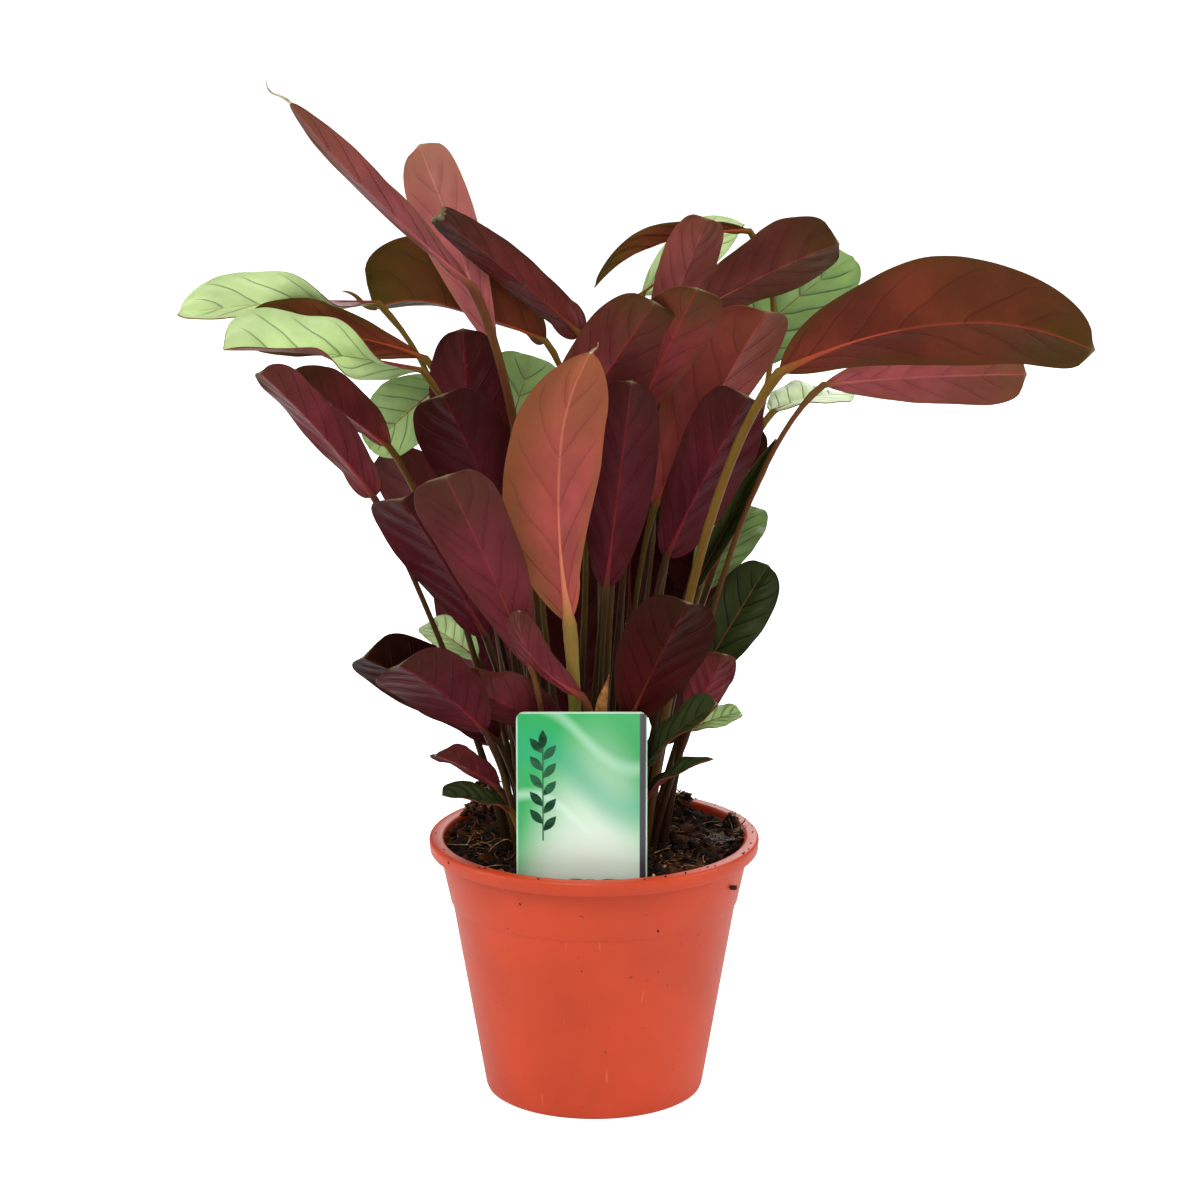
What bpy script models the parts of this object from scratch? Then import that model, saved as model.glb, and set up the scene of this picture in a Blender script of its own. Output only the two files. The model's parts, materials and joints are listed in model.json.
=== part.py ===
"""A potted ctenanthe: a nursery pot, its soil, a plant label and a clump of long-stalked leaves.

The origin is the middle of the pot's base and +Z is up. The front of the plant is towards -Y.
Lengths below are in millimetres and angles in degrees; the meshes are made in metres.
"""

import math
from collections import namedtuple
from itertools import combinations

import bmesh
import bpy
from mathutils import Vector

MM = 0.001

# Pot
POT_HEIGHT = 112.0
LIP_RADIUS = 70.0
LIP_DEPTH = 6.0
COLLAR_RADIUS = 65.0
LEDGE_HEIGHT = 84.0
LEDGE_RADIUS = 61.0
LEDGE_STEP = 0.8
BASE_RADIUS = 46.0
WALL = 1.5
FLOOR = 2.0
RIM_ROUND = 0.9
RIM_THROAT = 1.4
LIP_TAPER = 0.3
LIP_HOLLOW = 2.0
COLLAR_DEPTH = 4.0
FOOT_BEVEL = 1.0
POT_STEPS = 48
SOIL_STEPS = POT_STEPS // 2
DRAIN_HOLES = 8
DRAIN_RING_RADIUS = 33.0
DRAIN_HOLE_RADIUS = 4.0
DRAIN_HOLE_SIDES = 12

# Soil
SOIL_HEIGHT = 107.0
SOIL_EDGE_DROP = 2.0
CROWN_FLAT_RADIUS = 44.0
GAP = 0.3
POCKET_DEPTH = 6.0
POCKET_SIDES = 8
WALL_CLEARANCE = 0.5
SOIL_EDGE_WIDTH = 1.0
SOIL_EDGE_FALL = 2.0
CUT_SPARE = 2.0

# Crown: the patch of soil where the stalks come up
CROWN_X, CROWN_Y = -3.0, -5.0
FAN_DEPTH = 97.0
STALK_SPACING = 5.2
SPACING_ROUNDS = 80

# Label
LABEL_WIDTH = 54.0
LABEL_TOP = 179.0
LABEL_BOTTOM = 108.0
LABEL_CORNER = 3.4
LABEL_CORNER_STEPS = 3
LABEL_THICKNESS = 0.8
LABEL_X, LABEL_Y = -5.0, -49.0
STAKE_WIDTH = 12.0
STAKE_DEPTH = 30.0
STAKE_POINT = 6.0

# Dry sheath: an old leaf's papery stalk that still stands in the crown
SHEATH_FOOT = (4.0, -38.0)
SHEATH_TOP = 192.0
SHEATH_HALF_WIDTH = 2.0
SHEATH_HALF_THICKNESS = 0.5
SHEATH_FOLD = 30.0
SHEATH_STATIONS = (0.0, 0.1, 0.4, 0.7, 0.88, 1.0)
SHEATH_LEAN_X, SHEATH_LEAN_Y = 3.0, -2.0
SHEATH_FOOT_SHARE = 0.5
SHEATH_SWELL = 1.4
SHEATH_FULL = 1.2

# Leaf sections: how far along, and how the blade swells
STALK_STATIONS = (0.0, 0.04, 0.25, 0.5, 0.75, 0.9)
BLADE_STATIONS = (0.0, 0.05, 0.15, 0.3, 0.48, 0.66, 0.82, 0.94, 1.0)
STALK_FOOT_RADIUS = 1.8
STALK_RADIUS = 1.25
PULVINUS_RADIUS = 1.6
STALK_EASE = 0.25
BLADE_HALF_THICKNESS = 0.45
TIP_HALF_WIDTH = 0.6
FOOT_FULLNESS, TIP_FULLNESS = 0.55, 0.5
FOLD_EASE = 0.15
SECTION_HEIGHT = math.sin(math.pi / 3.0)

TONES = {
    "coral": (0.72, 0.22, 0.12),
    "pink": (0.55, 0.18, 0.20),
    "red": (0.38, 0.05, 0.06),
    "burgundy": (0.22, 0.03, 0.06),
    "plum": (0.13, 0.03, 0.07),
    "olive": (0.30, 0.20, 0.08),
    "orange": (0.50, 0.20, 0.09),
    "pale": (0.42, 0.50, 0.30),
    "green": (0.16, 0.26, 0.10),
}

# A leaf is told by where its blade starts (foot), the way the blade runs (heading, counted from
# +X towards +Y, and rise above level), its length and width, and the way its upper side looks
# (face, a heading, lifted by tilt). fold lifts the two halves towards each other, arch bows the
# blade to its upper side and sway to one side, both as a share of its length.
Leaf = namedtuple(
    "Leaf",
    "name foot heading rise length width face tilt fold arch sway tone",
)

LEAVES = (
    # The tall ones at the upper left
    Leaf("leaf_tall_furled", (-50, -15, 350), 200, 45, 110, 20, 90, 20, 50, -0.04, 0.0, "red"),
    Leaf("leaf_pink_upright", (-40, 10, 315), 145, 65, 95, 28, 90, 10, 15, 0.05, 0.0, "pink"),
    Leaf("leaf_red_torn_tip", (-5, 10, 325), 185, 40, 80, 25, 90, 10, 10, 0.05, 0.0, "red"),
    Leaf("leaf_olive_broad", (-20, 25, 320), 170, 15, 75, 42, 90, 20, 10, 0.06, 0.0, "olive"),
    Leaf("leaf_pale_far_left", (-90, 25, 335), 195, 0, 85, 25, 270, 50, 15, 0.05, 0.0, "pale"),
    Leaf("leaf_brown_left", (-70, 10, 315), 190, 10, 75, 28, 90, 20, 10, 0.04, -0.05, "olive"),
    Leaf("leaf_pale_left", (-70, -20, 315), 200, 10, 85, 28, 270, 50, 15, 0.05, 0.0, "pale"),
    Leaf("leaf_red_hanging", (-85, 0, 280), 215, 35, 60, 25, 90, 10, 10, 0.06, 0.0, "red"),
    Leaf("leaf_burgundy_left", (-90, -30, 265), 225, 45, 85, 25, 90, 20, 20, 0.05, 0.0, "burgundy"),
    Leaf("leaf_yellow_green", (-65, 30, 300), 145, -40, 50, 30, 270, 20, 10, 0.05, 0.0, "pale"),
    # The left half, down to the rim
    Leaf("leaf_dark_left_back", (-50, -5, 255), 130, 85, 75, 35, 90, 0, 10, 0.04, 0.0, "plum"),
    Leaf("leaf_dark_left_upper", (-35, -15, 245), 225, 60, 75, 38, 90, 10, 10, 0.05, 0.0, "plum"),
    Leaf("leaf_dark_left_front", (-25, -45, 195), 230, 60, 105, 34, 90, 10, 10, 0.05, 0.0, "burgundy"),
    Leaf("leaf_dark_left_low", (-45, -25, 205), 225, 55, 80, 38, 90, 10, 15, 0.05, 0.0, "plum"),
    Leaf("leaf_low_left_long", (-40, -25, 160), 215, 35, 80, 36, 90, 20, 10, 0.06, 0.0, "burgundy"),
    Leaf("leaf_low_left_pale_edge", (-45, -45, 170), 235, 35, 70, 34, 90, 20, 10, 0.06, 0.0, "burgundy"),
    Leaf("leaf_low_left_centre", (-15, -30, 165), 215, 30, 60, 28, 90, 20, 10, 0.04, 0.0, "burgundy"),
    Leaf("leaf_sickle", (-5, -45, 185), 225, 50, 55, 15, 90, 20, 20, 0.05, 0.15, "burgundy"),
    Leaf("leaf_tiny_left", (-40, -25, 140), 230, 30, 45, 15, 90, 30, 20, 0.05, 0.0, "burgundy"),
    Leaf("leaf_tiny_left_green", (-35, -40, 135), 225, 20, 40, 14, 270, 60, 20, 0.05, 0.0, "green"),
    Leaf("leaf_pale_bit", (-50, 15, 185), 125, 10, 40, 18, 270, 50, 10, 0.05, 0.0, "pale"),
    # The middle
    Leaf("leaf_coral_front", (-10, -45, 215), 280, 80, 120, 44, 90, 0, 5, 0.03, 0.05, "coral"),
    Leaf("leaf_dark_centre", (5, -25, 225), 295, 75, 95, 32, 90, 0, 10, 0.04, 0.0, "plum"),
    Leaf("leaf_red_centre", (-20, -20, 275), 330, 55, 90, 40, 90, 0, 10, 0.04, 0.0, "red"),
    Leaf("leaf_red_right_centre", (15, -15, 290), 305, 55, 80, 30, 90, 0, 10, 0.04, 0.0, "red"),
    Leaf("leaf_mauve_top", (25, -5, 320), 320, 65, 65, 25, 90, 10, 15, 0.05, 0.0, "pink"),
    Leaf("leaf_green_centre_back", (-40, 40, 265), 70, 45, 55, 35, 270, 20, 10, 0.05, 0.0, "green"),
    Leaf("leaf_olive_drooping", (65, 35, 365), 190, -15, 70, 15, 90, 40, 25, 0.04, -0.08, "olive"),
    Leaf("leaf_pale_top_back", (20, 50, 335), 35, 25, 60, 25, 270, 40, 15, 0.06, 0.0, "pale"),
    # The upper right
    Leaf("leaf_brown_top_right", (35, 10, 330), 10, 25, 75, 35, 90, 20, 10, 0.06, 0.0, "burgundy"),
    Leaf("leaf_green_top_right", (55, 50, 305), 35, 30, 80, 44, 270, 40, 10, 0.06, 0.0, "green"),
    Leaf("leaf_broad_right", (75, -45, 320), 340, 10, 130, 50, 90, 15, 10, 0.04, 0.08, "orange"),
    Leaf("leaf_burgundy_right", (95, 5, 305), 15, 0, 90, 30, 90, 0, 10, 0.06, 0.0, "burgundy"),
    Leaf("leaf_pale_right_back", (75, 25, 290), 50, 0, 50, 30, 270, 60, 10, 0.05, 0.0, "pale"),
    Leaf("leaf_red_broad", (25, -5, 255), 335, 60, 100, 40, 90, 10, 10, 0.05, 0.0, "red"),
    Leaf("leaf_plum_right", (30, -10, 235), 320, 60, 85, 34, 90, 10, 10, 0.05, 0.0, "plum"),
    Leaf("leaf_dark_right_back", (25, 20, 250), 315, 85, 60, 25, 90, 0, 10, 0.05, 0.0, "plum"),
    Leaf("leaf_green_right_back", (25, 35, 240), 100, 65, 60, 25, 270, 10, 10, 0.05, 0.0, "green"),
    # The right half, down to the rim
    Leaf("leaf_rolled_green", (40, 5, 215), 15, 60, 75, 14, 270, 20, 50, 0.03, 0.0, "green"),
    Leaf("leaf_green_right", (45, 35, 210), 60, 30, 55, 25, 270, 40, 10, 0.05, 0.0, "green"),
    Leaf("leaf_green_right_low", (45, 5, 180), 25, 55, 55, 26, 270, 30, 10, 0.05, 0.0, "green"),
    Leaf("leaf_low_right_front", (15, -45, 175), 305, 55, 70, 38, 90, 10, 10, 0.05, 0.0, "red"),
    Leaf("leaf_small_burgundy", (40, -20, 165), 315, 60, 40, 18, 90, 10, 10, 0.05, 0.0, "burgundy"),
    Leaf("leaf_green_low_right", (20, -35, 150), 310, 40, 60, 18, 270, 50, 15, 0.05, 0.0, "green"),
    Leaf("leaf_narrow_green", (20, -30, 135), 300, 30, 65, 10, 270, 50, 20, 0.05, 0.0, "green"),
    Leaf("leaf_tiny_green", (40, 10, 155), 40, 5, 30, 12, 270, 50, 10, 0.05, 0.0, "green"),
    # Behind, where they fill the back of the clump
    Leaf("leaf_back_left", (-25, 55, 215), 105, 70, 90, 42, 90, 10, 10, 0.04, 0.0, "plum"),
    Leaf("leaf_back_middle", (15, 55, 190), 85, 75, 105, 42, 90, 10, 10, 0.04, 0.0, "plum"),
    Leaf("leaf_back_right", (40, 50, 205), 60, 60, 85, 40, 90, 20, 10, 0.05, 0.0, "burgundy"),
    Leaf("leaf_back_far_left", (-50, 45, 200), 135, 50, 80, 38, 90, 20, 10, 0.05, 0.0, "burgundy"),
    Leaf("leaf_back_low", (-5, 45, 140), 95, 70, 90, 42, 90, 10, 10, 0.05, 0.0, "plum"),
    Leaf("leaf_back_low_left", (-40, 40, 140), 130, 65, 85, 40, 90, 20, 10, 0.05, 0.0, "plum"),
    Leaf("leaf_back_top", (10, 55, 255), 85, 70, 75, 36, 270, 10, 10, 0.05, 0.0, "green"),
    Leaf("leaf_back_low_right", (30, 40, 140), 55, 65, 85, 40, 90, 20, 10, 0.05, 0.0, "plum"),
)


def clear_scene():
    for item in list(bpy.data.objects):
        bpy.data.objects.remove(item, do_unlink=True)


def new_collection(name):
    collection = bpy.data.collections.new(name)
    bpy.context.scene.collection.children.link(collection)
    return collection


def make_material(name, colour, roughness, metallic=0.0):
    material = bpy.data.materials.new(name)
    material.use_nodes = True
    shader = material.node_tree.nodes["Principled BSDF"]
    shader.inputs["Base Color"].default_value = (*colour, 1.0)
    shader.inputs["Roughness"].default_value = roughness
    shader.inputs["Metallic"].default_value = metallic
    return material


def add_object(name, mesh, material, collection):
    item = bpy.data.objects.new(name, mesh)
    if material:
        mesh.materials.append(material)
    collection.objects.link(item)
    return item


def smooth(mesh, angle=40.0):
    mesh.shade_smooth()
    mesh.set_sharp_from_angle(angle=math.radians(angle))


def as_cutter(item):
    item.hide_render = True
    item.display_type = "WIRE"


def cut(item, cutter):
    modifier = item.modifiers.new("cut", "BOOLEAN")
    modifier.operation = "DIFFERENCE"
    modifier.solver = "EXACT"
    modifier.object = cutter


def turned(name, profile, steps, material, collection):
    """A profile of (radius, height) in mm, turned about Z."""
    mesh = bpy.data.meshes.new(name)
    points = [(radius * MM, 0.0, height * MM) for radius, height in profile]
    edges = [(i, i + 1) for i in range(len(points) - 1)]
    mesh.from_pydata(points, edges, [])
    item = add_object(name, mesh, material, collection)
    screw = item.modifiers.new("turn", "SCREW")
    screw.axis = "Z"
    screw.steps = steps
    screw.render_steps = steps
    screw.use_merge_vertices = True
    screw.merge_threshold = 0.00001
    screw.use_smooth_shade = True
    return item


def cylinders(name, places, radius, low, high, sides, collection):
    """Upright round cutters at places (x, y), all in one object."""
    shape = bmesh.new()
    for x, y in places:
        made = bmesh.ops.create_cone(
            shape, cap_ends=True, segments=sides,
            radius1=radius * MM, radius2=radius * MM, depth=(high - low) * MM,
        )
        centre = Vector((x, y, (low + high) / 2.0)) * MM
        bmesh.ops.translate(shape, verts=made["verts"], vec=centre)
    mesh = bpy.data.meshes.new(name)
    shape.to_mesh(mesh)
    shape.free()
    item = add_object(name, mesh, None, collection)
    as_cutter(item)
    return item


def outer_radius(height):
    """The pot's outer wall below the ledge."""
    share = height / LEDGE_HEIGHT
    return BASE_RADIUS + (LEDGE_RADIUS - LEDGE_STEP - BASE_RADIUS) * share


def inner_radius(height):
    """The pot's inner wall, which follows the outer one at the wall's thickness."""
    if height <= LEDGE_HEIGHT:
        return outer_radius(height) - WALL
    share = (height - LEDGE_HEIGHT) / (POT_HEIGHT - LIP_DEPTH - LEDGE_HEIGHT)
    top = COLLAR_RADIUS - WALL
    bottom = LEDGE_RADIUS - LEDGE_STEP - WALL
    return bottom + (top - bottom) * min(share, 1.0)


def make_pot(parts, cutters):
    lip_bottom = POT_HEIGHT - LIP_DEPTH
    profile = [
        (0.0, FLOOR),
        (inner_radius(FLOOR), FLOOR),
        (inner_radius(LEDGE_HEIGHT), LEDGE_HEIGHT),
        (inner_radius(lip_bottom), lip_bottom),
        (inner_radius(lip_bottom) + RIM_THROAT / 2.0, POT_HEIGHT - RIM_ROUND),
        (inner_radius(lip_bottom) + RIM_THROAT, POT_HEIGHT),
        (LIP_RADIUS - RIM_ROUND, POT_HEIGHT),
        (LIP_RADIUS, POT_HEIGHT - RIM_ROUND),
        (LIP_RADIUS - LIP_TAPER, lip_bottom),
        (LIP_RADIUS - WALL, lip_bottom),
        (LIP_RADIUS - WALL, lip_bottom + LIP_HOLLOW),
        (COLLAR_RADIUS, lip_bottom + LIP_HOLLOW),
        (COLLAR_RADIUS, lip_bottom - COLLAR_DEPTH),
        (LEDGE_RADIUS, LEDGE_HEIGHT),
        (LEDGE_RADIUS - LEDGE_STEP, LEDGE_HEIGHT),
        (outer_radius(FOOT_BEVEL), FOOT_BEVEL),
        (BASE_RADIUS - FOOT_BEVEL, 0.0),
        (0.0, 0.0),
    ]
    material = make_material("terracotta plastic", (0.62, 0.22, 0.10), 0.55)
    pot = turned("pot", profile, POT_STEPS, material, parts)
    turn = 2.0 * math.pi / DRAIN_HOLES
    places = [
        (DRAIN_RING_RADIUS * math.cos(i * turn), DRAIN_RING_RADIUS * math.sin(i * turn))
        for i in range(DRAIN_HOLES)
    ]
    low, high = -CUT_SPARE, FLOOR + CUT_SPARE
    cut(pot, cylinders("drain_holes", places, DRAIN_HOLE_RADIUS, low, high, DRAIN_HOLE_SIDES, cutters))


def fan_place(leaf):
    """Where a stalk would stand if all of them fanned out from one deep point under the crown."""
    middle = Vector((CROWN_X, CROWN_Y))
    reach = Vector(leaf.foot[:2]) - middle
    return middle + reach * (FAN_DEPTH / (leaf.foot[2] - SOIL_HEIGHT + FAN_DEPTH))


def stalk_feet():
    """Each stalk's place in the crown: the fan's, pushed apart until no two crowd each other."""
    places = [fan_place(leaf) for leaf in LEAVES] + [Vector(SHEATH_FOOT)]
    for _ in range(SPACING_ROUNDS):
        for one, other in combinations(places, 2):
            apart = one - other
            short = STALK_SPACING - apart.length
            if short > 0.0:
                push = apart.normalized() * (short / 2.0)
                one += push
                other -= push
    names = [leaf.name for leaf in LEAVES] + ["dry_sheath"]
    return dict(zip(names, places))


def box_mesh(name, size, centre):
    shape = bmesh.new()
    made = bmesh.ops.create_cube(shape, size=1.0)
    bmesh.ops.scale(shape, verts=made["verts"], vec=Vector(size) * MM)
    bmesh.ops.translate(shape, verts=made["verts"], vec=Vector(centre) * MM)
    mesh = bpy.data.meshes.new(name)
    shape.to_mesh(mesh)
    shape.free()
    return mesh


def make_soil(feet, parts, cutters):
    edge_height = SOIL_HEIGHT - SOIL_EDGE_DROP
    floor = FLOOR + GAP
    profile = [
        (0.0, SOIL_HEIGHT),
        (CROWN_FLAT_RADIUS, SOIL_HEIGHT),
        (inner_radius(edge_height) - WALL_CLEARANCE - SOIL_EDGE_WIDTH, edge_height),
        (inner_radius(edge_height) - WALL_CLEARANCE, edge_height - SOIL_EDGE_FALL),
        (inner_radius(LEDGE_HEIGHT) - WALL_CLEARANCE, LEDGE_HEIGHT),
        (inner_radius(floor) - WALL_CLEARANCE, floor),
        (0.0, floor),
    ]
    material = make_material("peat", (0.05, 0.035, 0.025), 0.95)
    soil = turned("soil", profile, SOIL_STEPS, material, parts)
    pocket_radius = (STALK_FOOT_RADIUS + GAP) / math.cos(math.pi / POCKET_SIDES)
    low, high = SOIL_HEIGHT - POCKET_DEPTH, SOIL_HEIGHT + CUT_SPARE
    cut(soil, cylinders("pockets", feet.values(), pocket_radius, low, high, POCKET_SIDES, cutters))
    slot_height = STAKE_DEPTH + GAP + CUT_SPARE
    slot = box_mesh(
        "stake_slot",
        (STAKE_WIDTH + 2.0 * GAP, LABEL_THICKNESS + 2.0 * GAP, slot_height),
        (LABEL_X, LABEL_Y, high - slot_height / 2.0),
    )
    slot_cutter = add_object("stake_slot", slot, None, cutters)
    as_cutter(slot_cutter)
    cut(soil, slot_cutter)


def corner(cx, cz, start):
    """A quarter round of the label's outline, from the angle start."""
    points = []
    for i in range(LABEL_CORNER_STEPS + 1):
        angle = math.radians(start + 90.0 * i / LABEL_CORNER_STEPS)
        points.append((cx + LABEL_CORNER * math.cos(angle), cz + LABEL_CORNER * math.sin(angle)))
    return points


def make_label(parts):
    """A card with round corners, drawn with its stake as one flat outline."""
    half = LABEL_WIDTH / 2.0
    stake = STAKE_WIDTH / 2.0
    left, right = -half + LABEL_CORNER, half - LABEL_CORNER
    low, high = LABEL_BOTTOM + LABEL_CORNER, LABEL_TOP - LABEL_CORNER
    stake_end = SOIL_HEIGHT - STAKE_DEPTH
    outline = corner(right, high, 0.0) + corner(left, high, 90.0) + corner(left, low, 180.0)
    outline += [(-stake, LABEL_BOTTOM), (-stake, stake_end + STAKE_POINT), (0.0, stake_end)]
    outline += [(stake, stake_end + STAKE_POINT), (stake, LABEL_BOTTOM)]
    outline += corner(right, low, 270.0)
    shape = bmesh.new()
    back = LABEL_Y + LABEL_THICKNESS / 2.0
    corners = [shape.verts.new(Vector((LABEL_X + x, back, z)) * MM) for x, z in outline]
    card = shape.faces.new(corners)
    pulled = bmesh.ops.extrude_face_region(shape, geom=[card])
    front = [v for v in pulled["geom"] if isinstance(v, bmesh.types.BMVert)]
    bmesh.ops.translate(shape, verts=front, vec=Vector((0.0, -LABEL_THICKNESS, 0.0)) * MM)
    bmesh.ops.recalc_face_normals(shape, faces=shape.faces)
    mesh = bpy.data.meshes.new("plant_label")
    shape.to_mesh(mesh)
    shape.free()
    material = make_material("label card", (0.10, 0.42, 0.14), 0.35)
    add_object("plant_label", mesh, material, parts)


def compass(heading, rise):
    heading, rise = math.radians(heading), math.radians(rise)
    level = math.cos(rise)
    return Vector((level * math.cos(heading), level * math.sin(heading), math.sin(rise)))


class Blade:
    """The midrib of one leaf's blade, with the way its upper side looks."""

    def __init__(self, leaf):
        self.leaf = leaf
        self.foot = Vector(leaf.foot)
        self.along = compass(leaf.heading, leaf.rise)
        look = compass(leaf.face, leaf.tilt)
        self.upper = (look - self.along * look.dot(self.along)).normalized()
        self.side = self.along.cross(self.upper)

    def midrib(self, v):
        bow = 4.0 * v * (1.0 - v) * self.leaf.length
        point = self.foot + self.along * (v * self.leaf.length)
        return point + self.upper * (bow * self.leaf.arch) + self.side * (bow * self.leaf.sway)

    def direction(self, v):
        step = 0.01
        return (self.midrib(min(v + step, 1.0)) - self.midrib(max(v - step, 0.0))).normalized()

    def half_width(self, v):
        """Widest just past the middle, with a short point at the tip."""
        if v <= 0.0:
            return PULVINUS_RADIUS
        widest = FOOT_FULLNESS / (FOOT_FULLNESS + TIP_FULLNESS)
        most = widest ** FOOT_FULLNESS * (1.0 - widest) ** TIP_FULLNESS
        swell = v ** FOOT_FULLNESS * (1.0 - v) ** TIP_FULLNESS / most
        return max(self.leaf.width / 2.0 * swell, TIP_HALF_WIDTH)


def section(centre, side, upper, half_width, half_thickness, fold):
    """Six corners: the two edges and two pairs of corners above and below."""
    ring = []
    lift = math.sin(fold)
    narrow = math.cos(fold)
    for i in range(6):
        across = half_width * math.cos(math.pi * i / 3.0)
        above = half_thickness * math.sin(math.pi * i / 3.0) / SECTION_HEIGHT
        ring.append(centre + side * (across * narrow) + upper * (above + abs(across) * lift))
    return ring


def bezier(a, b, c, d, t):
    s = 1.0 - t
    return a * s ** 3 + b * (3 * s * s * t) + c * (3 * s * t * t) + d * t ** 3


def stalk_points(blade, place):
    """Centre line of the stalk: straight up out of its pocket, then a free curve to the blade."""
    bottom = Vector((place.x, place.y, SOIL_HEIGHT - POCKET_DEPTH + GAP))
    top = Vector((place.x, place.y, SOIL_HEIGHT + 1.0))
    reach = (blade.foot - top).length
    straight = (blade.foot - top).normalized()
    leave = (straight + Vector((0.0, 0.0, 1.0))).normalized()
    arrive = (straight + blade.direction(0.0)).normalized()
    first = top + leave * (STALK_EASE * reach)
    last = blade.foot - arrive * (STALK_EASE * reach)
    return [bottom] + [bezier(top, first, last, blade.foot, t) for t in STALK_STATIONS]


def stalk_rings(blade, place):
    """Round sections, each turned on from the next one up, so the stalk meets the blade untwisted."""
    points = stalk_points(blade, place)
    rings = []
    ahead = blade.direction(0.0)
    upper = (blade.upper - ahead * blade.upper.dot(ahead)).normalized()
    count = len(points)
    for i in reversed(range(count)):
        below = points[max(i - 1, 0)]
        above = points[i + 1] if i + 1 < count else blade.foot
        here = Vector((0.0, 0.0, 1.0)) if i <= 1 else (above - below).normalized()
        upper = ahead.rotation_difference(here) @ upper
        ahead = here
        share = 0.0 if i <= 1 else i / (count - 1)
        radius = STALK_FOOT_RADIUS + (STALK_RADIUS - STALK_FOOT_RADIUS) * share
        side = ahead.cross(upper)
        rings.append(section(points[i], side, upper, radius, radius * SECTION_HEIGHT, 0.0))
    rings.reverse()
    return rings


def blade_rings(blade):
    rings = []
    for v in BLADE_STATIONS:
        ahead = blade.direction(v)
        side = ahead.cross(blade.upper).normalized()
        upper = side.cross(ahead)
        fold = math.radians(blade.leaf.fold) * min(v / FOLD_EASE, 1.0)
        thin = PULVINUS_RADIUS * SECTION_HEIGHT if v <= 0.0 else BLADE_HALF_THICKNESS
        rings.append(section(blade.midrib(v), side, upper, blade.half_width(v), thin, fold))
    return rings


def loft(name, rings):
    """A closed body through sections of equal corner count."""
    shape = bmesh.new()
    rows = [[shape.verts.new(point * MM) for point in ring] for ring in rings]
    count = len(rows[0])
    for low, high in zip(rows, rows[1:]):
        for i in range(count):
            j = (i + 1) % count
            shape.faces.new((low[i], low[j], high[j], high[i]))
    shape.faces.new(list(reversed(rows[0])))
    shape.faces.new(rows[-1])
    bmesh.ops.recalc_face_normals(shape, faces=shape.faces)
    mesh = bpy.data.meshes.new(name)
    shape.to_mesh(mesh)
    shape.free()
    smooth(mesh)
    return mesh


def make_sheath(place, parts):
    """Widens from its foot, leans a little and ends in a bent point."""
    bottom = SOIL_HEIGHT - POCKET_DEPTH + GAP
    height = SHEATH_TOP - bottom
    fold = math.radians(SHEATH_FOLD)
    rings = []
    for share in SHEATH_STATIONS:
        centre = Vector((place.x, place.y, bottom + height * share))
        centre.x += SHEATH_LEAN_X * share ** 4
        centre.y += SHEATH_LEAN_Y * share ** 4
        swell = SHEATH_FOOT_SHARE + SHEATH_SWELL * share * (SHEATH_FULL - share)
        half_width = SHEATH_HALF_WIDTH * swell
        side, upper = Vector((1.0, 0.0, 0.0)), Vector((0.0, 1.0, 0.0))
        rings.append(section(centre, side, upper, half_width, SHEATH_HALF_THICKNESS, fold * share))
    material = make_material("dry sheath", (0.45, 0.24, 0.10), 0.85)
    add_object("dry_sheath", loft("dry_sheath", rings), material, parts)


def make_leaves(feet, parts):
    materials = {tone: make_material("leaf " + tone, colour, 0.45) for tone, colour in TONES.items()}
    for leaf in LEAVES:
        blade = Blade(leaf)
        rings = stalk_rings(blade, feet[leaf.name])[:-1] + blade_rings(blade)
        add_object(leaf.name, loft(leaf.name, rings), materials[leaf.tone], parts)


def main():
    clear_scene()
    parts = new_collection("potted_ctenanthe")
    cutters = new_collection("cutters")
    feet = stalk_feet()
    make_pot(parts, cutters)
    make_soil(feet, parts, cutters)
    make_label(parts)
    make_sheath(feet["dry_sheath"], parts)
    make_leaves(feet, parts)


main()
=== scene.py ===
"""Dresses the potted ctenanthe: pot, soil, label, dry sheath and every leaf, and sets the stage.

Lengths in the tables are in millimetres and angles in degrees. Meshes are in metres, +Z up, with the
middle of the pot's base at the origin and the front of the plant towards -Y.
"""

import json
import math
import random
from collections import namedtuple
from contextlib import contextmanager
from itertools import combinations

import bpy
from bpy.props import FloatProperty, FloatVectorProperty, IntProperty, PointerProperty
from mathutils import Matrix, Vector, kdtree, noise

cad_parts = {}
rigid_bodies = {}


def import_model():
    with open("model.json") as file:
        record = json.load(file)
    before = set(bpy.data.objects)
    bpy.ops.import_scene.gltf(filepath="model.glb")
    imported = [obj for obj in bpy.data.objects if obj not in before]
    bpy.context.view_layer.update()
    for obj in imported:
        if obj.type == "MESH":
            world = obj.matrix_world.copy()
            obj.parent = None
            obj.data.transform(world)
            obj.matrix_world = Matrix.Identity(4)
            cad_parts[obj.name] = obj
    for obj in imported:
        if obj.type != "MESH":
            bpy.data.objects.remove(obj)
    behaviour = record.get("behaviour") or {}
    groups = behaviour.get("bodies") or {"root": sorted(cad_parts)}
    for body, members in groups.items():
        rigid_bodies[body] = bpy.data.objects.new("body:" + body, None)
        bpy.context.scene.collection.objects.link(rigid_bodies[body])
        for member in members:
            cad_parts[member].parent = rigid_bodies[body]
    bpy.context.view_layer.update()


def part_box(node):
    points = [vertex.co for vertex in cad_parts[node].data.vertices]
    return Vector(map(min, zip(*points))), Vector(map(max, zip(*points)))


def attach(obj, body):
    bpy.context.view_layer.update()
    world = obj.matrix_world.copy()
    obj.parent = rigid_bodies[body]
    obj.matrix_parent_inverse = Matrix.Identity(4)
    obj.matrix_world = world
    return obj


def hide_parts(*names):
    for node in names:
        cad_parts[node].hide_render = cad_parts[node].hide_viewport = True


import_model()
for _item in bpy.data.objects:
    _item.select_set(False)

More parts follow.
